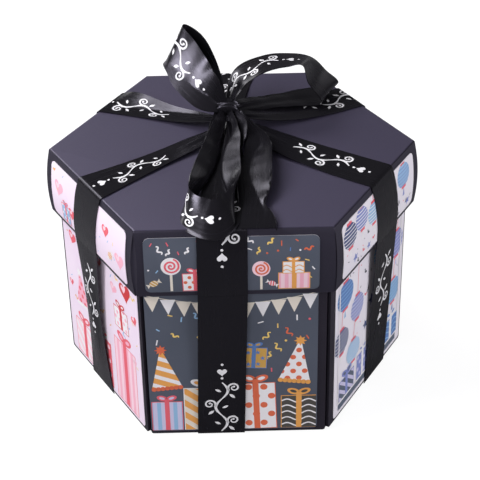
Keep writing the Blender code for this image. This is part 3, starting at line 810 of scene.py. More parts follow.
def pink_label(art, rng):
    foot = art.low
    for x, y, size, ink in ((-27, 15, 8, "pink"), (-15, 8, 6, "rose"), (17, 17, 6, "rose"),
                            (29, 9, 8, "pink"), (3, 12, 7, "pink")):
        lit_heart(art, x, foot + y, size, ink, 0.1 * (x % 3 - 1), 0.4, 0.0)
    wrapped_sweet(art, 20.5, foot + 7.0, 3.4, "orange", "white", 0.9, 4)
    parcel(art, -21, foot + 1, 7.5, 8, "sky", "rose", ("dots", "white", 2.8), 0.0, 4)
    confetti(art, rng, (-33, 33, foot + 2, foot + 23), 15, ("orange", "yellow", "sky", "orange"), 0.7)


def lilac_wall(art, rng):
    lantern(art, -25, 62, 15, 14, "blue", "sky", 2)
    lantern(art, -13, 49, 12.5, 13, "periwinkle", "white", 7, 20)
    lantern(art, -28, 40, 14, 13, "navy", "white", 12, 9)
    lantern(art, -16, 28, 13, 12, "sky", "white", 17, 8)
    lantern(art, 27, 58, 13, 14, "periwinkle", "lavender", 2)
    lantern(art, 25, 34, 14, 13, "sky", "blue", 7)
    lantern(art, 8, 64, 11, 11, "sky", "white", 2, 8)
    parcel(art, -22, 8.5, 14, 10, "slate", "periwinkle", ("stripes", "lavender", 3.6), 0.0, 22)
    parcel(art, -6, 8.5, 12, 13, "periwinkle", "white", ("dots", "lavender", 4.2), 0.0, 22)
    parcel(art, 24, 8.5, 15, 11, "blue", "white", ("waves", "sky", 3.0), 0.0, 14)
    art.fill(rectangle(0, 4.2, 60, 4.0), "slate", 2)
    left, right, foot, top = -30.5, 31, 8.2, 96
    for ends in ([(left, foot), (left, top)], [(left, foot), (right, foot)],
                 [(right, foot), (right, top)], [(right, top), (left, top)]):
        art.line(ends, 0.9, "white", 30)
    for x, y, size in ((2, 44, 3.4), (-4, 34, 2.6), (14, 46, 3.0), (17, 70, 2.8), (6, 26, 2.4)):
        art.fill(star(x, y, size, turn=0.2), "navy", 2)
    bunting(art, -29, 30, 94, 4.0, 10, 7.0, ("navy", "sky", "periwinkle"))
    confetti(art, rng, (-28, 30, 22, 88), 30, ("ink_grey", "rose", "ink_grey", "blue"), 0.6)


def lilac_label(art, rng):
    top = art.high
    lantern(art, -28, top - 7, 12, 11, "navy", "white", 2, 4)
    lantern(art, -17, top - 5, 11, 10, "periwinkle", "white", 7, 4)
    lantern(art, -6, top - 8, 11, 10, "sky", "white", 2, 5)
    lantern(art, 6, top - 5, 10, 9, "blue", "sky", 7, 4)
    lantern(art, 24, top - 6, 12, 11, "sky", "periwinkle", 2, 4)
    for x, y, size in ((-23, 5, 2.4), (-10, 3.4, 2.0), (15, 6, 2.6), (29, 4, 2.2)):
        art.fill(star(x, art.low + y, size, turn=0.3), "periwinkle", 2)
    confetti(art, rng, (-32, 32, art.low + 1.5, art.low + 11), 20, ("ink_grey", "rose", "ink_grey"), 0.55)


WALL_DESIGNS = {"slate": slate_wall, "pink": pink_wall, "lilac": lilac_wall}
LABEL_DESIGNS = {"slate": slate_label, "pink": pink_label, "lilac": lilac_label}


def wall_print_extent(index):
    """The extent of a wall's print after it was cut narrower."""
    half, low, high = box_extent(PRINT_BOX)
    return half - PRINTS_NARROWED[index], low, high


def make_panel(name, index, extents, corner, levels, spot, body, node):
    """A thin sheet of paper with rounded corners, following the face it is glued to."""
    theme = FACE_THEMES[index]
    bm = bmesh.new()
    corners = ((-1, 0), (1, 0), (1, -PAPER), (-1, -PAPER))
    loft(bm, [[spot(index, side * half, height, lift) for side, lift in corners]
              for height, half in rounded_rows(*extents, corner, levels)])
    _along, outward = face_axes(index)
    for face in bm.faces:
        face.material_index = 0 if face.normal.dot(outward) > 0.7 else 1
    panel = link_mesh(name, bm, [PAPERS[theme], PAPER_EDGE], body)
    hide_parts(node)


def make_panels():
    """The labels on the lid's flaps and the papers on the walls."""
    for index in range(SIDES):
        number = index + 1
        make_panel(f"lid_label_{number}", index, box_extent(LABEL_BOX), LABEL_CORNER, LABEL_LEVELS,
                   flap_spot, "lid", f"lid_print_{number}")
        make_panel(f"wall_panel_{number}", index, wall_print_extent(index), PRINT_CORNER, PRINT_LEVELS,
                   wall_spot, f"outer_flap_{number}", f"outer_print_{number}")


def print_panels():
    """The designs on the labels and on the walls' papers."""
    for index, theme in enumerate(FACE_THEMES):
        number = index + 1
        slot = THEME_SLOTS[theme]
        rng = random.Random(20 + index)
        art = Artwork(*box_extent(LABEL_BOX))
        LABEL_DESIGNS[theme](art, rng)
        art.lay(f"label_design_{number}", index, flap_spot, "lid", slot, LABEL_LEVELS)
        art = Artwork(*wall_print_extent(index))
        WALL_DESIGNS[theme](art, rng)
        art.lay(f"wall_design_{number}", index, wall_spot, f"outer_flap_{number}", slot, PRINT_LEVELS)


# Ribbon

def blend_points(points, position):
    """A point on the smooth curve through vectors, at a position counted in points."""
    last = len(points) - 1
    index = min(int(position), last - 1)
    t = position - index
    before, start = points[max(index - 1, 0)], points[index]
    end, after = points[index + 1], points[min(index + 2, last)]
    pull = (end - before) * t + (2 * before - 5 * start + 4 * end - after) * t * t
    return start + (pull + (3 * start - before - 3 * end + after) * t * t * t) / 2


def resampled(values, count):
    """The smooth curve through values, read at evenly spaced positions."""
    return [blend_points(values, (len(values) - 1) * share) for share in shares(count)]


def creased_section(shape, count):
    """Points across a ribbon (across, rise): the width gathers in a count of pleats, and the part left
    of a crease tilts up. The shape is the width, the pleats' height, the tilt and the crease's place."""
    width, pleat, tilt, end = shape
    section = []
    for share in shares(16):
        t = 2 * share - 1
        rise = pleat * (0.6 * (1 - t * t) + cos(pi * count * (t + 0.15)))
        section.append((width / 2 * t, rise + tilt * width / 2 * max(0.0, end - t)))
    return section


def folded_section(shape, lift):
    """Points across a ribbon that runs flat from its right edge, bends by an angle, and runs on.
    The flat width, the bend's radius and the rest are shares of the ribbon's width."""
    flat, radius, rest = (value * RIBBON_WIDTH for value in shape[:3])
    angle = shape[3]
    bend = radius * angle
    reach = flat + radius * sin(min(angle, pi / 2)) + max(0.0, rest * cos(angle))
    section = []
    for share in shares(24):
        distance = (flat + bend + rest) * share
        turn = min(max(distance - flat, 0.0) / radius, angle)
        beyond = max(0.0, distance - flat - bend)
        across = min(distance, flat) + radius * sin(turn) + beyond * cos(angle)
        rise = radius * (1 - cos(turn)) + beyond * sin(angle)
        section.append((reach / 2 - across, rise * lift))
    return section


class Ribbon:
    """A length of ribbon as a grid of points, with its thickness laid on both sides of the grid."""

    def __init__(self, stations, thickness=RIBBON_THICKNESS):
        """Each station is a centre, a direction across, the outward normal, and a section in these two."""
        self.thickness = thickness
        self.columns = len(stations[0][3]) - 1
        self.rows = [[centre + across * side + normal * rise for side, rise in section]
                     for centre, across, normal, section in stations]
        self.run = [0.0]
        for before, after in zip(stations, stations[1:]):
            self.run.append(self.run[-1] + (after[0] - before[0]).length)
        self.length = self.run[-1]
        first_run = stations[1][0] - stations[0][0]
        first_across = self.rows[0][1] - self.rows[0][0]
        self.side = 1 if first_across.cross(first_run).dot(stations[0][2]) > 0 else -1
        self.normals = self.grid_normals()

    def grid_normals(self):
        return [[(right - left).cross(after - before).normalized() * self.side
                 for (_point, right, left), after, before in zip(with_neighbours(row), ahead, behind)]
                for row, ahead, behind in with_neighbours(self.rows)]

    def ripple(self, height, seed):
        """Soft creases: waves that slant across the ribbon and fade at its ends."""
        rng = random.Random(seed)
        waves = [(rng.uniform(0.35, 1.0), rng.uniform(7.0, 15.0) * MM, rng.uniform(-2.4, 2.4),
                  rng.uniform(0, tau)) for _ in range(4)]
        for row, normals, run in zip(self.rows, self.normals, self.run):
            fade = min(1.0, (self.length - run) / RIPPLE_FADE, run / RIPPLE_FADE)
            for k, share in enumerate(shares(self.columns)):
                rise = sum(part * sin(tau * run / wave + slant * (2 * share - 1) + phase)
                           for part, wave, slant, phase in waves)
                row[k] = row[k] + normals[k] * (rise * height * fade)
        self.normals = self.grid_normals()

    def at(self, distance, across_share, lift):
        """A point over the ribbon: distance along it, share of the half width across it, height over it."""
        distance = min(max(distance, 0.0), self.length)
        i = min(bisect_left(self.run, distance, 1), len(self.run) - 1) - 1
        part = (distance - self.run[i]) / (self.run[i + 1] - self.run[i])
        column = (across_share + 1) / 2 * self.columns
        k = min(int(column), self.columns - 1)

        def blended(grid):
            low, high = (row[k].lerp(row[k + 1], column - k) for row in grid[i:i + 2])
            return low.lerp(high, part)
        return blended(self.rows) + blended(self.normals).normalized() * (RIBBON_THICKNESS / 2 + lift)

    def build(self, name, body):
        """The ribbon as one closed mesh."""
        bm = bmesh.new()
        places = {}
        top, bottom = [], []
        for grid, half in ((top, self.thickness / 2), (bottom, -self.thickness / 2)):
            for row, normals, run in zip(self.rows, self.normals, self.run):
                grid.append([bm.verts.new(point + normal * half) for point, normal in zip(row, normals)])
                for vert, share in zip(grid[-1], shares(self.columns)):
                    places[vert] = ((share - 0.5) * RIBBON_WIDTH, run)
            skin(bm, grid)
        for end in (0, -1):
            skin(bm, [[row[end] for row in grid] for grid in (top, bottom)])
            skin(bm, [top[end], bottom[end]])
        bmesh.ops.recalc_face_normals(bm, faces=bm.faces)
        lay_weave(bm, places.get)
        return link_mesh(name, bm, [SATIN], body, radians(50))


# The ribbon's printed scroll, in millimetres along and across the ribbon

def spiral(x, y, start, flip):
    """A curl that winds in, with its line widths."""
    radius, turns = 2.6, 1.35
    line = [polar(x, y, radius * (1 - 0.78 * share), start + flip * share * turns * tau)
            for share in shares(26)]
    return line, [0.95 - 0.5 * share for share in shares(26)]


def leaf(x, y, length, turn):
    half = [(x + length * share, length * 0.2 * sin(pi * share)) for share in shares(6)]
    outline = [(px, y + rise) for px, rise in half] + [(px, y - rise) for px, rise in half[-2:0:-1]]
    return turned(outline, x, y, turn)


def diced(points, step):
    """A shape cut along a grid of small squares, so that it follows a curved ribbon."""
    smallest = 0.001
    left, right, low, high = extent(points)
    pieces = []
    for column in range(floor(left / step), ceil(right / step)):
        for row in range(floor(low / step), ceil(high / step)):
            piece = clipped(points, rectangle((column + 0.5) * step, row * step, step, step))
            area = sum(ax * by - bx * ay for (ax, ay), (bx, by) in zip(piece, piece[1:] + piece[:1]))
            if abs(area) > smallest:
                pieces.append(piece)
    return pieces


def scroll_shapes():
    """One repeat: a wavy stem with a curl and leaves at each bend, then a heart between two dots."""
    height, turns = 2.5, 1.5
    stem = wave(0.0, 0.0, 27.0, height, turns, 60)
    widths = [0.5 + 0.6 * abs(sin(tau * turns * share)) for share in shares(60)]
    shapes = stroke(stem, widths)
    filled = [heart(32.6, 0.0, 4.2, -pi / 2), circle(29.3, 0.0, 0.6, 10), circle(36.6, 0.0, 0.6, 10)]
    for bend, side in ((4.5, 1), (13.5, -1), (22.5, 1)):
        line, widths = spiral(bend + 1.6, side * (height + 2.5), -side * 2.2, side)
        shapes += stroke(line, widths)
        filled += [circle(*line[-1], 0.55, 10), leaf(bend - 1.8, side * (height + 0.6), 3.4, side * 2.3),
                   leaf(bend - 0.6, -side * 0.2, 3.0, -side * 1.1)]
    for outline in filled:
        shapes += diced(outline, 0.6)
    return shapes


SCROLL = scroll_shapes()


def print_scroll(ribbon, body, name, start, heading, face):
    """Lays the scroll on a ribbon from a millimetre on, run forwards or backwards (1 or -1), on its
    outer or inner face (1 or -1)."""
    bm = bmesh.new()
    half = RIBBON_WIDTH / 2 / MM
    lift = RIBBON_INK_LIFT if face > 0 else -RIBBON_THICKNESS - RIBBON_INK_LIFT
    for shape in SCROLL:
        points = [ribbon.at((start + heading * x) * MM, y / half, lift) for x, y in shape]
        bm.faces.new([bm.verts.new(point) for point in points])
    return link_mesh(name, bm, [RIBBON_INK], body)


def lay_ribbon(ribbon, name, node, body, scroll=None):
    piece = ribbon.build(name, body)
    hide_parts(node)
    prints = [print_scroll(ribbon, body, *scroll)] if scroll else []
    return [piece] + prints


FLAT_SECTION = creased_section((RIBBON_WIDTH, 0.0, 0.0, 1.0), 1.0)

# Shares for places along an arm, from the knot to the lid's edge: the reach, the rise, the pleats, the
# width of an open arm and of one that is drawn in, and, for an arm that lies creased, how far its left
# part tilts up and where that part ends
ARM_SHARES = (
    (0.0, 1.0, 1.0, 0.2, 0.2, 0.2, -0.85),
    (0.06, 0.9, 0.9, 0.3, 0.28, 0.32, -0.8),
    (0.13, 0.74, 0.75, 0.44, 0.36, 0.42, -0.72),
    (0.22, 0.53, 0.5, 0.6, 0.46, 0.46, -0.64),
    (0.34, 0.31, 0.25, 0.74, 0.52, 0.46, -0.55),
    (0.5, 0.12, 0.08, 0.86, 0.58, 0.44, -0.35),
    (0.75, 0.0, 0.0, 0.97, 0.76, 0.38, 0.1),
    (1.0, 0.0, 0.0, 1.0, 1.0, 0.0, 1.0),
)
# Which arms and strips are drawn in or lie creased, counted from 0
DRAWN_IN_ARMS = (3, 4, 5)
CREASED_ARMS = (4,)
DRAWN_IN_STRIPS = (5,)


def aside(index, drift_shares):
    """How far the ribbon lies off a face's middle."""
    along, _outward = face_axes(index)
    return along * (drift_shares[index] * RIBBON_WIDTH)


def arm_stations(index):
    """From under the knot across the lid, over its edge and down the flap."""
    along, outward = face_axes(index)
    lay = RIBBON_LAY + RIBBON_THICKNESS / 2
    proud = PRINT_PROUD + lay
    edge_drift, skirt_drift = aside(index, EDGE_DRIFT_SHARES), aside(index, SKIRT_DRIFT_SHARES)
    hub = outward * (LID_APOTHEM - RIBBON_FOLD_RADIUS) + edge_drift
    run = hub - CROSSING
    across = UP.cross(run).normalized()
    if across.dot(along) < 0:
        across.negate()
    first = ARM_START / run.length
    places = []
    for reach, rise, pleat_share, open_width, drawn_width, tilt, end in ARM_SHARES:
        pleat = ARM_PLEAT * pleat_share
        lift = LID_TOP + lay + ARM_RISES[index] * rise + (index % 3) * ARM_STACK * (1 - reach) + pleat
        centre = CROSSING + run * (first + (1 - first) * reach) + UP * lift
        width = drawn_width if index in DRAWN_IN_ARMS else open_width
        shape = Vector((RIBBON_WIDTH * width, pleat, tilt if index in CREASED_ARMS else 0.0, end))
        places.append((centre, across.lerp(along, reach), shape))
    stations = [(centre, side.normalized(), UP, creased_section(shape, 1.5))
                for centre, side, shape in zip(*[resampled(column, 44) for column in zip(*places)])]
    bend = RIBBON_FOLD_RADIUS + proud
    top = LID_TOP + lay - bend
    for share in shares(6)[1:]:
        angle = share * pi / 2
        normal = outward * sin(angle) + UP * cos(angle)
        stations.append((hub + UP * top + normal * bend, along, normal, FLAT_SECTION))
    for share in shares(16)[1:]:
        height = top + (SKIRT_FOOT - top) * share
        middle = outward * (flap_side(height) * APOTHEM_SHARE + proud) + edge_drift.lerp(skirt_drift, share)
        stations.append((middle + UP * height, along, outward, FLAT_SECTION))
    return stations


def strip_stations(index):
    """Down a wall from the flap's foot, standing off it at the top, and tucked under the base."""
    along, outward = face_axes(index)
    lay = PRINT_PROUD + RIBBON_LAY + RIBBON_THICKNESS / 2
    top_reach = flap_side(SKIRT_FOOT) * APOTHEM_SHARE + lay
    foot_reach = BOX_APOTHEM + lay
    top, foot = SKIRT_FOOT - STRIP_GAP, WALL_FOOT + STRIP_TUCK
    skirt_drift, base_drift = aside(index, SKIRT_DRIFT_SHARES), aside(index, BASE_DRIFT_SHARES)
    drawn_in_share = 0.34 if index in DRAWN_IN_STRIPS else 0.0
    stations = []
    for share in shares(26):
        narrow = drawn_in_share * sin(pi * share)
        section = creased_section((RIBBON_WIDTH * (1 - narrow), STRIP_PLEAT * narrow, 0.0, 1.0), 1.0)
        reach = top_reach + (foot_reach - top_reach) * share + 1.5 * STRIP_PLEAT * narrow
        middle = outward * reach + UP * (top + (foot - top) * share)
        stations.append((middle + skirt_drift.lerp(base_drift, share), along, outward, section))
    for share in shares(5)[1:]:
        angle = share * radians(70)
        reach = foot_reach - STRIP_TUCK * (1 - cos(angle))
        middle = outward * reach + UP * (foot - 1.3 * STRIP_TUCK * sin(angle))
        normal = outward * cos(angle) - UP * sin(angle)
        stations.append((middle + base_drift, along, normal, FLAT_SECTION))
    return stations


def make_bands():
    """The arms on the lid and the strips on the walls, with their printed scroll."""
    arm_scrolls = ((56, 1), (30, 1), (36, 1), (34, 1), (28, 1), (32, 1))
    strip_scrolls = ((72, -1), (10, 1), (14, 1), (12, 1), (66, -1), (8, 1))
    for index in range(SIDES):
        number = index + 1
        arm = Ribbon(arm_stations(index))
        arm.ripple(ARM_RIPPLE, index)
        lay_ribbon(arm, f"lid_band_{number}", f"lid_ribbon_{number}", "lid",
                   (f"lid_band_print_{number}", *arm_scrolls[index], 1))
        pieces = lay_ribbon(Ribbon(strip_stations(index)), f"wall_band_{number}", f"wall_ribbon_{number}",
                            f"outer_flap_{number}",
                            (f"wall_band_print_{number}", *strip_scrolls[index], 1))
        _along, outward = face_axes(index)
        for piece in pieces:
            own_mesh(piece)


def make_base_bands():
    """Three flat bands that cross under the base, one over the other."""
    crossings = SIDES // 2
    gap = BASE_RIBBON_THICKNESS / crossings
    for k in range(crossings):
        height = UP * (gap * (k + 0.5))
        ends = []
        for index in (k, k + crossings):
            _along, outward = face_axes(index)
            drift = aside(index, BASE_DRIFT_SHARES)
            ends.append(outward * (BOX_APOTHEM - BASE_BAND_CLEARANCE) + drift + height)
        across, _outward = face_axes(k)
        stations = [(ends[0].lerp(ends[1], share), across, -UP, FLAT_SECTION) for share in shares(24)]
        lay_ribbon(Ribbon(stations, gap * 0.9), f"under_band_{k + 1}", "base_ribbon", "base")


# The bow. Each place is a step from the knot, in shares of the bow's reach along X and Y and of
# the knot's height along Z, then the ribbon's crosswise direction, then its width as a share, or the
# shape of its fold: flat width, radius of the bend and the rest, as shares of the width, and the angle
LEFT_LOOP_SHARES = (
    ((-0.03, -0.01, 0.1), (0.6, 0.2, 0.75), (0.16, 0.03, 0.14, 0.9)),
    ((-0.14, 0.0, 0.7), (0.51, 0.16, 0.85), (0.42, 0.03, 0.34, 0.5)),
    ((-0.21, 0.05, 0.95), (0.56, 0.13, 0.82), (0.52, 0.03, 0.34, 0.4)),
    ((-0.31, 0.16, 1.36), (0.75, 0.12, 0.65), (0.64, 0.04, 0.3, 0.12)),
    ((-0.385, 0.27, 1.86), (0.66, 0.12, 0.74), (0.7, 0.05, 0.22, 0.2)),
    ((-0.45, 0.37, 2.18), (0.46, 0.12, 0.88), (0.82, 0.05, 0.1, 0.3)),
    ((-0.41, 0.45, 2.06), (0.4, 0.1, 0.91), (0.92, 0.05, 0.04, 0.2)),
    ((-0.28, 0.42, 1.6), (0.4, 0.1, 0.91), (0.92, 0.05, 0.04, 0.2)),
    ((-0.18, 0.31, 1.08), (0.38, 0.1, 0.92), (0.8, 0.05, 0.06, 0.3)),
    ((-0.09, 0.17, 0.62), (0.35, 0.05, 0.95), (0.45, 0.05, 0.2, 0.9)),
    ((-0.03, 0.05, 0.15), (0.4, 0.0, 0.9), (0.14, 0.03, 0.16, 0.9)),
)
RIGHT_LOOP_SHARES = (
    ((0.02, 0.03, 0.15), (-0.5, 0.85, 0.1), 0.22),
    ((0.07, 0.13, 0.66), (-0.45, 0.88, 0.1), 0.5),
    ((0.15, 0.19, 1.16), (-0.18, 0.98, 0.02), 0.85),
    ((0.34, 0.24, 1.53), (0.0, 0.98, -0.08), 1.0),
    ((0.54, 0.29, 1.56), (0.06, 0.97, -0.15), 1.0),
    ((0.71, 0.36, 1.3), (0.22, 0.93, -0.24), 1.0),
    ((0.8, 0.42, 0.4), (0.42, 0.9, -0.12), 1.0),
    ((0.92, 0.46, -0.56), (0.42, 0.9, -0.05), 1.0),
    ((0.72, 0.46, -0.8), (-0.3, 0.94, 0.0), 0.85),
    ((0.34, 0.31, -0.6), (-0.4, 0.9, 0.0), 0.62),
    ((0.03, 0.03, -0.12), (-0.3, 0.6, 0.7), 0.24),
)
FRONT_LOOP_SHARES = (
    ((-0.03, -0.05, -0.02), (-0.83, 0.0, 0.56), (0.1, 0.03, 0.2, 3.0)),
    ((-0.06, -0.24, -0.10), (-0.83, -0.05, 0.56), (0.24, 0.06, 0.26, 3.0)),
    ((-0.10, -0.42, -0.24), (-0.74, -0.2, 0.6), (0.34, 0.07, 0.26, 3.0)),
    ((-0.13, -0.61, -0.35), (-0.74, -0.25, 0.6), (0.42, 0.08, 0.24, 3.0)),
    ((-0.18, -0.83, -0.42), (-0.73, -0.3, 0.6), (0.46, 0.08, 0.22, 3.0)),
    ((-0.23, -1.02, -0.46), (-0.63, -0.4, 0.64), (0.46, 0.07, 0.12, 3.0)),
    ((-0.28, -1.2, -0.5), (-0.3, -0.42, 0.84), (0.5, 0.03, 0.03, 2.4)),
    ((-0.34, -1.36, -0.56), (0.3, -0.1, 0.95), (0.56, 0.02, 0.01, 1.4)),
    ((-0.32, -1.49, -0.6), (0.5, 0.4, 0.77), (0.64, 0.02, 0.01, 1.0)),
    ((-0.235, -1.59, -0.6), (0.38, 0.72, 0.6), (0.72, 0.05, 0.06, 0.3)),
    ((-0.15, -1.645, -0.6), (0.12, 0.84, 0.54), (0.82, 0.05, 0.04, 0.3)),
    ((-0.06, -1.62, -0.6), (-0.07, 0.86, 0.52), (0.84, 0.05, 0.04, 0.3)),
    ((0.03, -1.47, -0.59), (-0.2, 0.8, 0.56), (0.72, 0.04, 0.03, 1.5)),
    ((0.04, -1.2, -0.58), (0.4, 0.3, 0.87), (0.48, 0.05, 0.14, 2.8)),
    ((0.02, -0.93, -0.48), (0.9, 0.05, 0.44), (0.4, 0.08, 0.22, 3.0)),
    ((0.02, -0.69, -0.37), (0.92, -0.1, 0.38), (0.36, 0.08, 0.26, 3.0)),
    ((0.05, -0.48, -0.23), (0.87, -0.15, 0.46), (0.26, 0.07, 0.26, 3.0)),
    ((0.06, -0.3, -0.12), (0.6, -0.1, 0.79), (0.14, 0.06, 0.28, 3.0)),
    ((0.02, -0.05, -0.04), (0.6, 0.0, 0.5), (0.1, 0.03, 0.2, 3.0)),
)
# For the tail the shape is the flat part, the leaf and the tucked part in millimetres, and the leaf's
# angle
TAIL_SHARES = (
    ((0.08, -0.03, -0.12), (1.0, 0.3, -0.1), (0.3, 2.0, 1.5, 0.4)),
    ((0.169, -0.209, -0.281), (1.0, 0.35, -0.1), (1.5, 3.0, 3.5, 0.1)),
    ((0.243, -0.354, -0.385), (1.0, 0.3, -0.1), (3.5, 4.0, 4.0, 0.1)),
    ((0.273, -0.476, -0.49), (1.0, 0.1, -0.05), (6.0, 4.5, 4.5, 0.24)),
    ((0.222, -0.633, -0.625), (1.0, 0.05, 0.0), (4.5, 7.6, 5.0, 0.42)),
    ((0.181, -0.813, -0.729), (1.0, 0.08, 0.0), (2.8, 9.6, 5.0, 0.42)),
    ((0.185, -0.994, -0.771), (1.0, 0.08, 0.0), (3.0, 9.2, 5.0, 0.42)),
    ((0.22, -1.195, -0.792), (1.0, 0.08, 0.0), (4.5, 6.0, 5.5, 0.42)),
    ((0.256, -1.359, -0.812), (1.0, 0.1, 0.0), (7.0, 1.5, 5.5, 0.4)),
    ((0.268, -1.488, -0.833), (1.0, 0.0, 0.0), (8.4, 3.6, 2.5, 0.1)),
    ((0.264, -1.603, -0.844), (1.0, 0.0, 0.0), (8.4, 4.9, 0.6, 0.04)),
    ((0.261, -1.702, -0.854), (1.0, 0.0, 0.0), (8.4, 5.0, 0.2, 0.0)),
)


def strand_stations(places, section):
    """Smooth stations through a strand's places; section turns a place's shape into points across."""
    vectors = []
    for (right, back, rise), direction, shape in places:
        centre = KNOT_CENTRE + Vector((right * BOW_REACH, back * BOW_REACH, rise * KNOT_HEIGHT))
        shape = shape if isinstance(shape, tuple) else (shape, 0, 0)
        vectors.append((centre, Vector(direction).normalized(), Vector(shape)))
    centres, sides, shapes = (resampled(column, (len(places) - 1) * 10) for column in zip(*vectors))
    stations = []
    for (centre, ahead, behind), side, shape in zip(with_neighbours(centres), sides, shapes):
        across = side.normalized()
        stations.append((centre, across, (ahead - behind).cross(across).normalized(), section(shape)))
    return stations


def gathered_section(shape):
    """A bow strand, pleated where it is drawn in."""
    width = shape.x
    return creased_section((RIBBON_WIDTH * width, BOW_PLEAT * (1 - min(1.0, width)), 0.0, 0.0), 2.0)


def tail_section(shape):
    """From the left edge: a flat part, a leaf that climbs to a ridge, and the rest tucked under it."""
    flat, climb, rest = (value * MM for value in shape[:3])
    legs = ((flat, 0.0), (climb, shape.w), (TAIL_TURN, radians(-70)), (rest, radians(-168)))
    whole = sum(length for length, _heading in legs)
    section = []
    for share in shares(30):
        distance = whole * share
        across, rise = -flat, 0.0
        for length, heading in legs:
            part = min(max(distance, 0.0), length)
            across += part * cos(heading)
            rise += part * sin(heading)
            distance -= length
        section.append((across, rise))
    return section


def make_knot():
    """The wrap of the knot: a gathered band over the crossing, with folds running round it, on a
    pleated foot."""
    bm = bmesh.new()
    angles = [share * tau for share in shares(40)[:-1]]
    lean = Matrix.Rotation(0.25, 3, "X")
    rings = []
    for share in shares(28):
        side = share * 2 - 1
        profile = sqrt(max(0.0, 1 - side ** 4)) * (1 + 0.15 * cos(3.1 * pi * side))
        ring = []
        for angle in angles:
            reach = KNOT_RADIUS * profile * (1 + 0.05 * sin(3 * angle + 5 * side))
            spot = Vector((reach * cos(angle), KNOT_DEPTH * side, 0.62 * reach * sin(angle)))
            ring.append(KNOT_CENTRE + lean @ spot)
        rings.append(ring)
    loft(bm, rings)
    foot_low = Vector((CROSSING.x, CROSSING.y, LID_TOP + RIBBON_LAY))
    foot_high = KNOT_CENTRE + KNOT_FOOT_TOP
    rings = []
    for share in shares(10):
        flare = KNOT_FOOT_RADIUS - KNOT_FOOT_TAPER * sin(share * pi / 2)
        middle = foot_low.lerp(foot_high, share)
        ring = []
        for angle in angles:
            reach = flare * (1 + 0.14 * cos(6 * angle + 2 * share))
            ring.append(middle + Vector((*polar(0, 0, reach, angle), 0)))
        rings.append(ring)
    loft(bm, rings)
    lay_weave(bm, lambda vert: (vert.co.y, vert.co.x + vert.co.z))
    piece = link_mesh("bow_wrap", bm, [SATIN], "lid", radians(60))
    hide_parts("bow_knot")


def make_bow():
    """The knot, its three loops and the tail. The left loop's lower part is creased towards the front,
    and the front loop's lower edge is tucked under on the outside."""
    make_knot()
    creased, tucked = (lambda shape: folded_section(shape, -1)), (lambda shape: folded_section(shape, 1))
    strands = (
        ("bow_left", "bow_loop_left", LEFT_LOOP_SHARES, creased, (48, -1, -1)),
        ("bow_right", "bow_loop_right", RIGHT_LOOP_SHARES, gathered_section, (4, 1, 1)),
        ("bow_front", "bow_loop_front", FRONT_LOOP_SHARES, tucked, (53.5, 1, 1)),
        ("bow_end", "bow_tail", TAIL_SHARES, tail_section, None),
    )
    for name, node, places, section, scroll in strands:
        ribbon = Ribbon(strand_stations(places, section))
        ribbon.ripple(BOW_RIPPLE, len(name))
        lay_ribbon(ribbon, name, node, "lid", scroll and (name + "_print", *scroll))


# Card nodes that keep their shape

def dress_card():
    """The nodes that keep their shape get their card."""
    cards = {node: INNER_CARD for node in ("outer_base", "middle_base", "inner_base")}
    cards.update(gift_box=LID_CARD, gift_box_lid=LID_CARD)
    for number in range(1, SIDES + 1):
        cards[f"outer_wall_{number}"] = WALL_CARD
        cards[f"middle_wall_{number}"] = cards[f"inner_wall_{number}"] = INNER_CARD
    for node, surface in cards.items():
        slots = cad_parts[node].data.materials
        slots.clear()
        slots.append(surface)


# Stage, light and camera

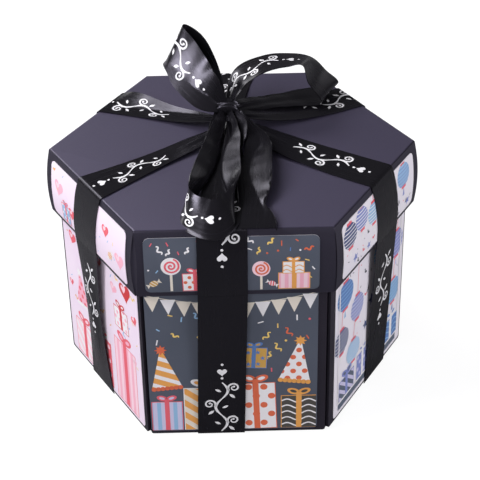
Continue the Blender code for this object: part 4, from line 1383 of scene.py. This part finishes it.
def make_floor():
    """A wide pale floor that shows white to the camera and keeps a faint shadow."""
    reach = 6.0
    bm = bmesh.new()
    bmesh.ops.create_grid(bm, x_segments=2, y_segments=2, size=reach)
    mesh = bpy.data.meshes.new("floor")
    bm.to_mesh(mesh)
    bm.free()
    ground = add_object("floor", mesh)
    made, tree, shader = new_material("pale_floor", srgb(112, 112, 114), 0.9)
    seen = add_node(tree, "LightPath", output="Is Camera Ray")
    feed(tree, shader.inputs["Emission Strength"], combined(tree, seen, 0.91))
    set_inputs(shader, {"Emission Color": (1, 1, 1, 1), "Specular IOR Level": 0.1})
    mesh.materials.append(made)


def make_world():
    """A dim studio that is darker towards the back, and white where the camera sees it."""
    world = bpy.data.worlds.new("studio")
    bpy.context.scene.world = world
    world.use_nodes = True
    tree = world.node_tree
    back = tree.nodes["Background"]
    set_inputs(back, {"Color": (1, 1, 1, 1)})
    depth = add_node(tree, "SeparateXYZ", {"Vector": places_of(tree, "Generated")}, "Y")
    seen = add_node(tree, "LightPath", output="Is Camera Ray")
    strength = combined(tree, spread(tree, depth, 0.3, 0.06, -0.7, 0.5), seen, "MAXIMUM")
    feed(tree, back.inputs["Strength"], strength)


def make_lights():
    """Soft rectangular lamps that face the middle of the box."""
    for name, (place, size, power) in LAMPS.items():
        lamp = bpy.data.lights.new(name, "AREA")
        lamp.shape = "RECTANGLE"
        lamp.size, lamp.size_y = size
        lamp.energy = power
        item = add_object(name, lamp)
        item.location = place
        item.rotation_euler = (BOX_MIDDLE - Vector(place)).to_track_quat("-Z", "Y").to_euler()


def make_camera():
    """The camera that sees the box as photographed, from its measured place and turn."""
    focal_pixels = 1449.29
    frame_pixels = 480
    right = Vector((0.99973279, -0.01621606, -0.01647371))
    down = Vector((-0.02263156, -0.54151281, -0.84038782))
    forward = Vector((0.00470705, 0.84053609, -0.54173511))
    place = (-0.358192 * MM, -542.031360 * MM, 405.090335 * MM)
    data = bpy.data.cameras.new("camera")
    data.sensor_width = 36
    data.lens = focal_pixels / frame_pixels * data.sensor_width
    camera = add_object("camera", data)
    turn = Matrix((right, -down, -forward)).transposed().to_4x4()
    camera.matrix_world = Matrix.Translation(place) @ turn
    bpy.context.scene.camera = camera


def main():
    bpy.context.scene.view_settings.view_transform = "Standard"
    make_camera()
    make_floor()
    make_world()
    make_lights()
    dress_card()
    make_lid()
    make_panels()
    print_panels()
    make_bands()
    make_base_bands()
    make_bow()


main()
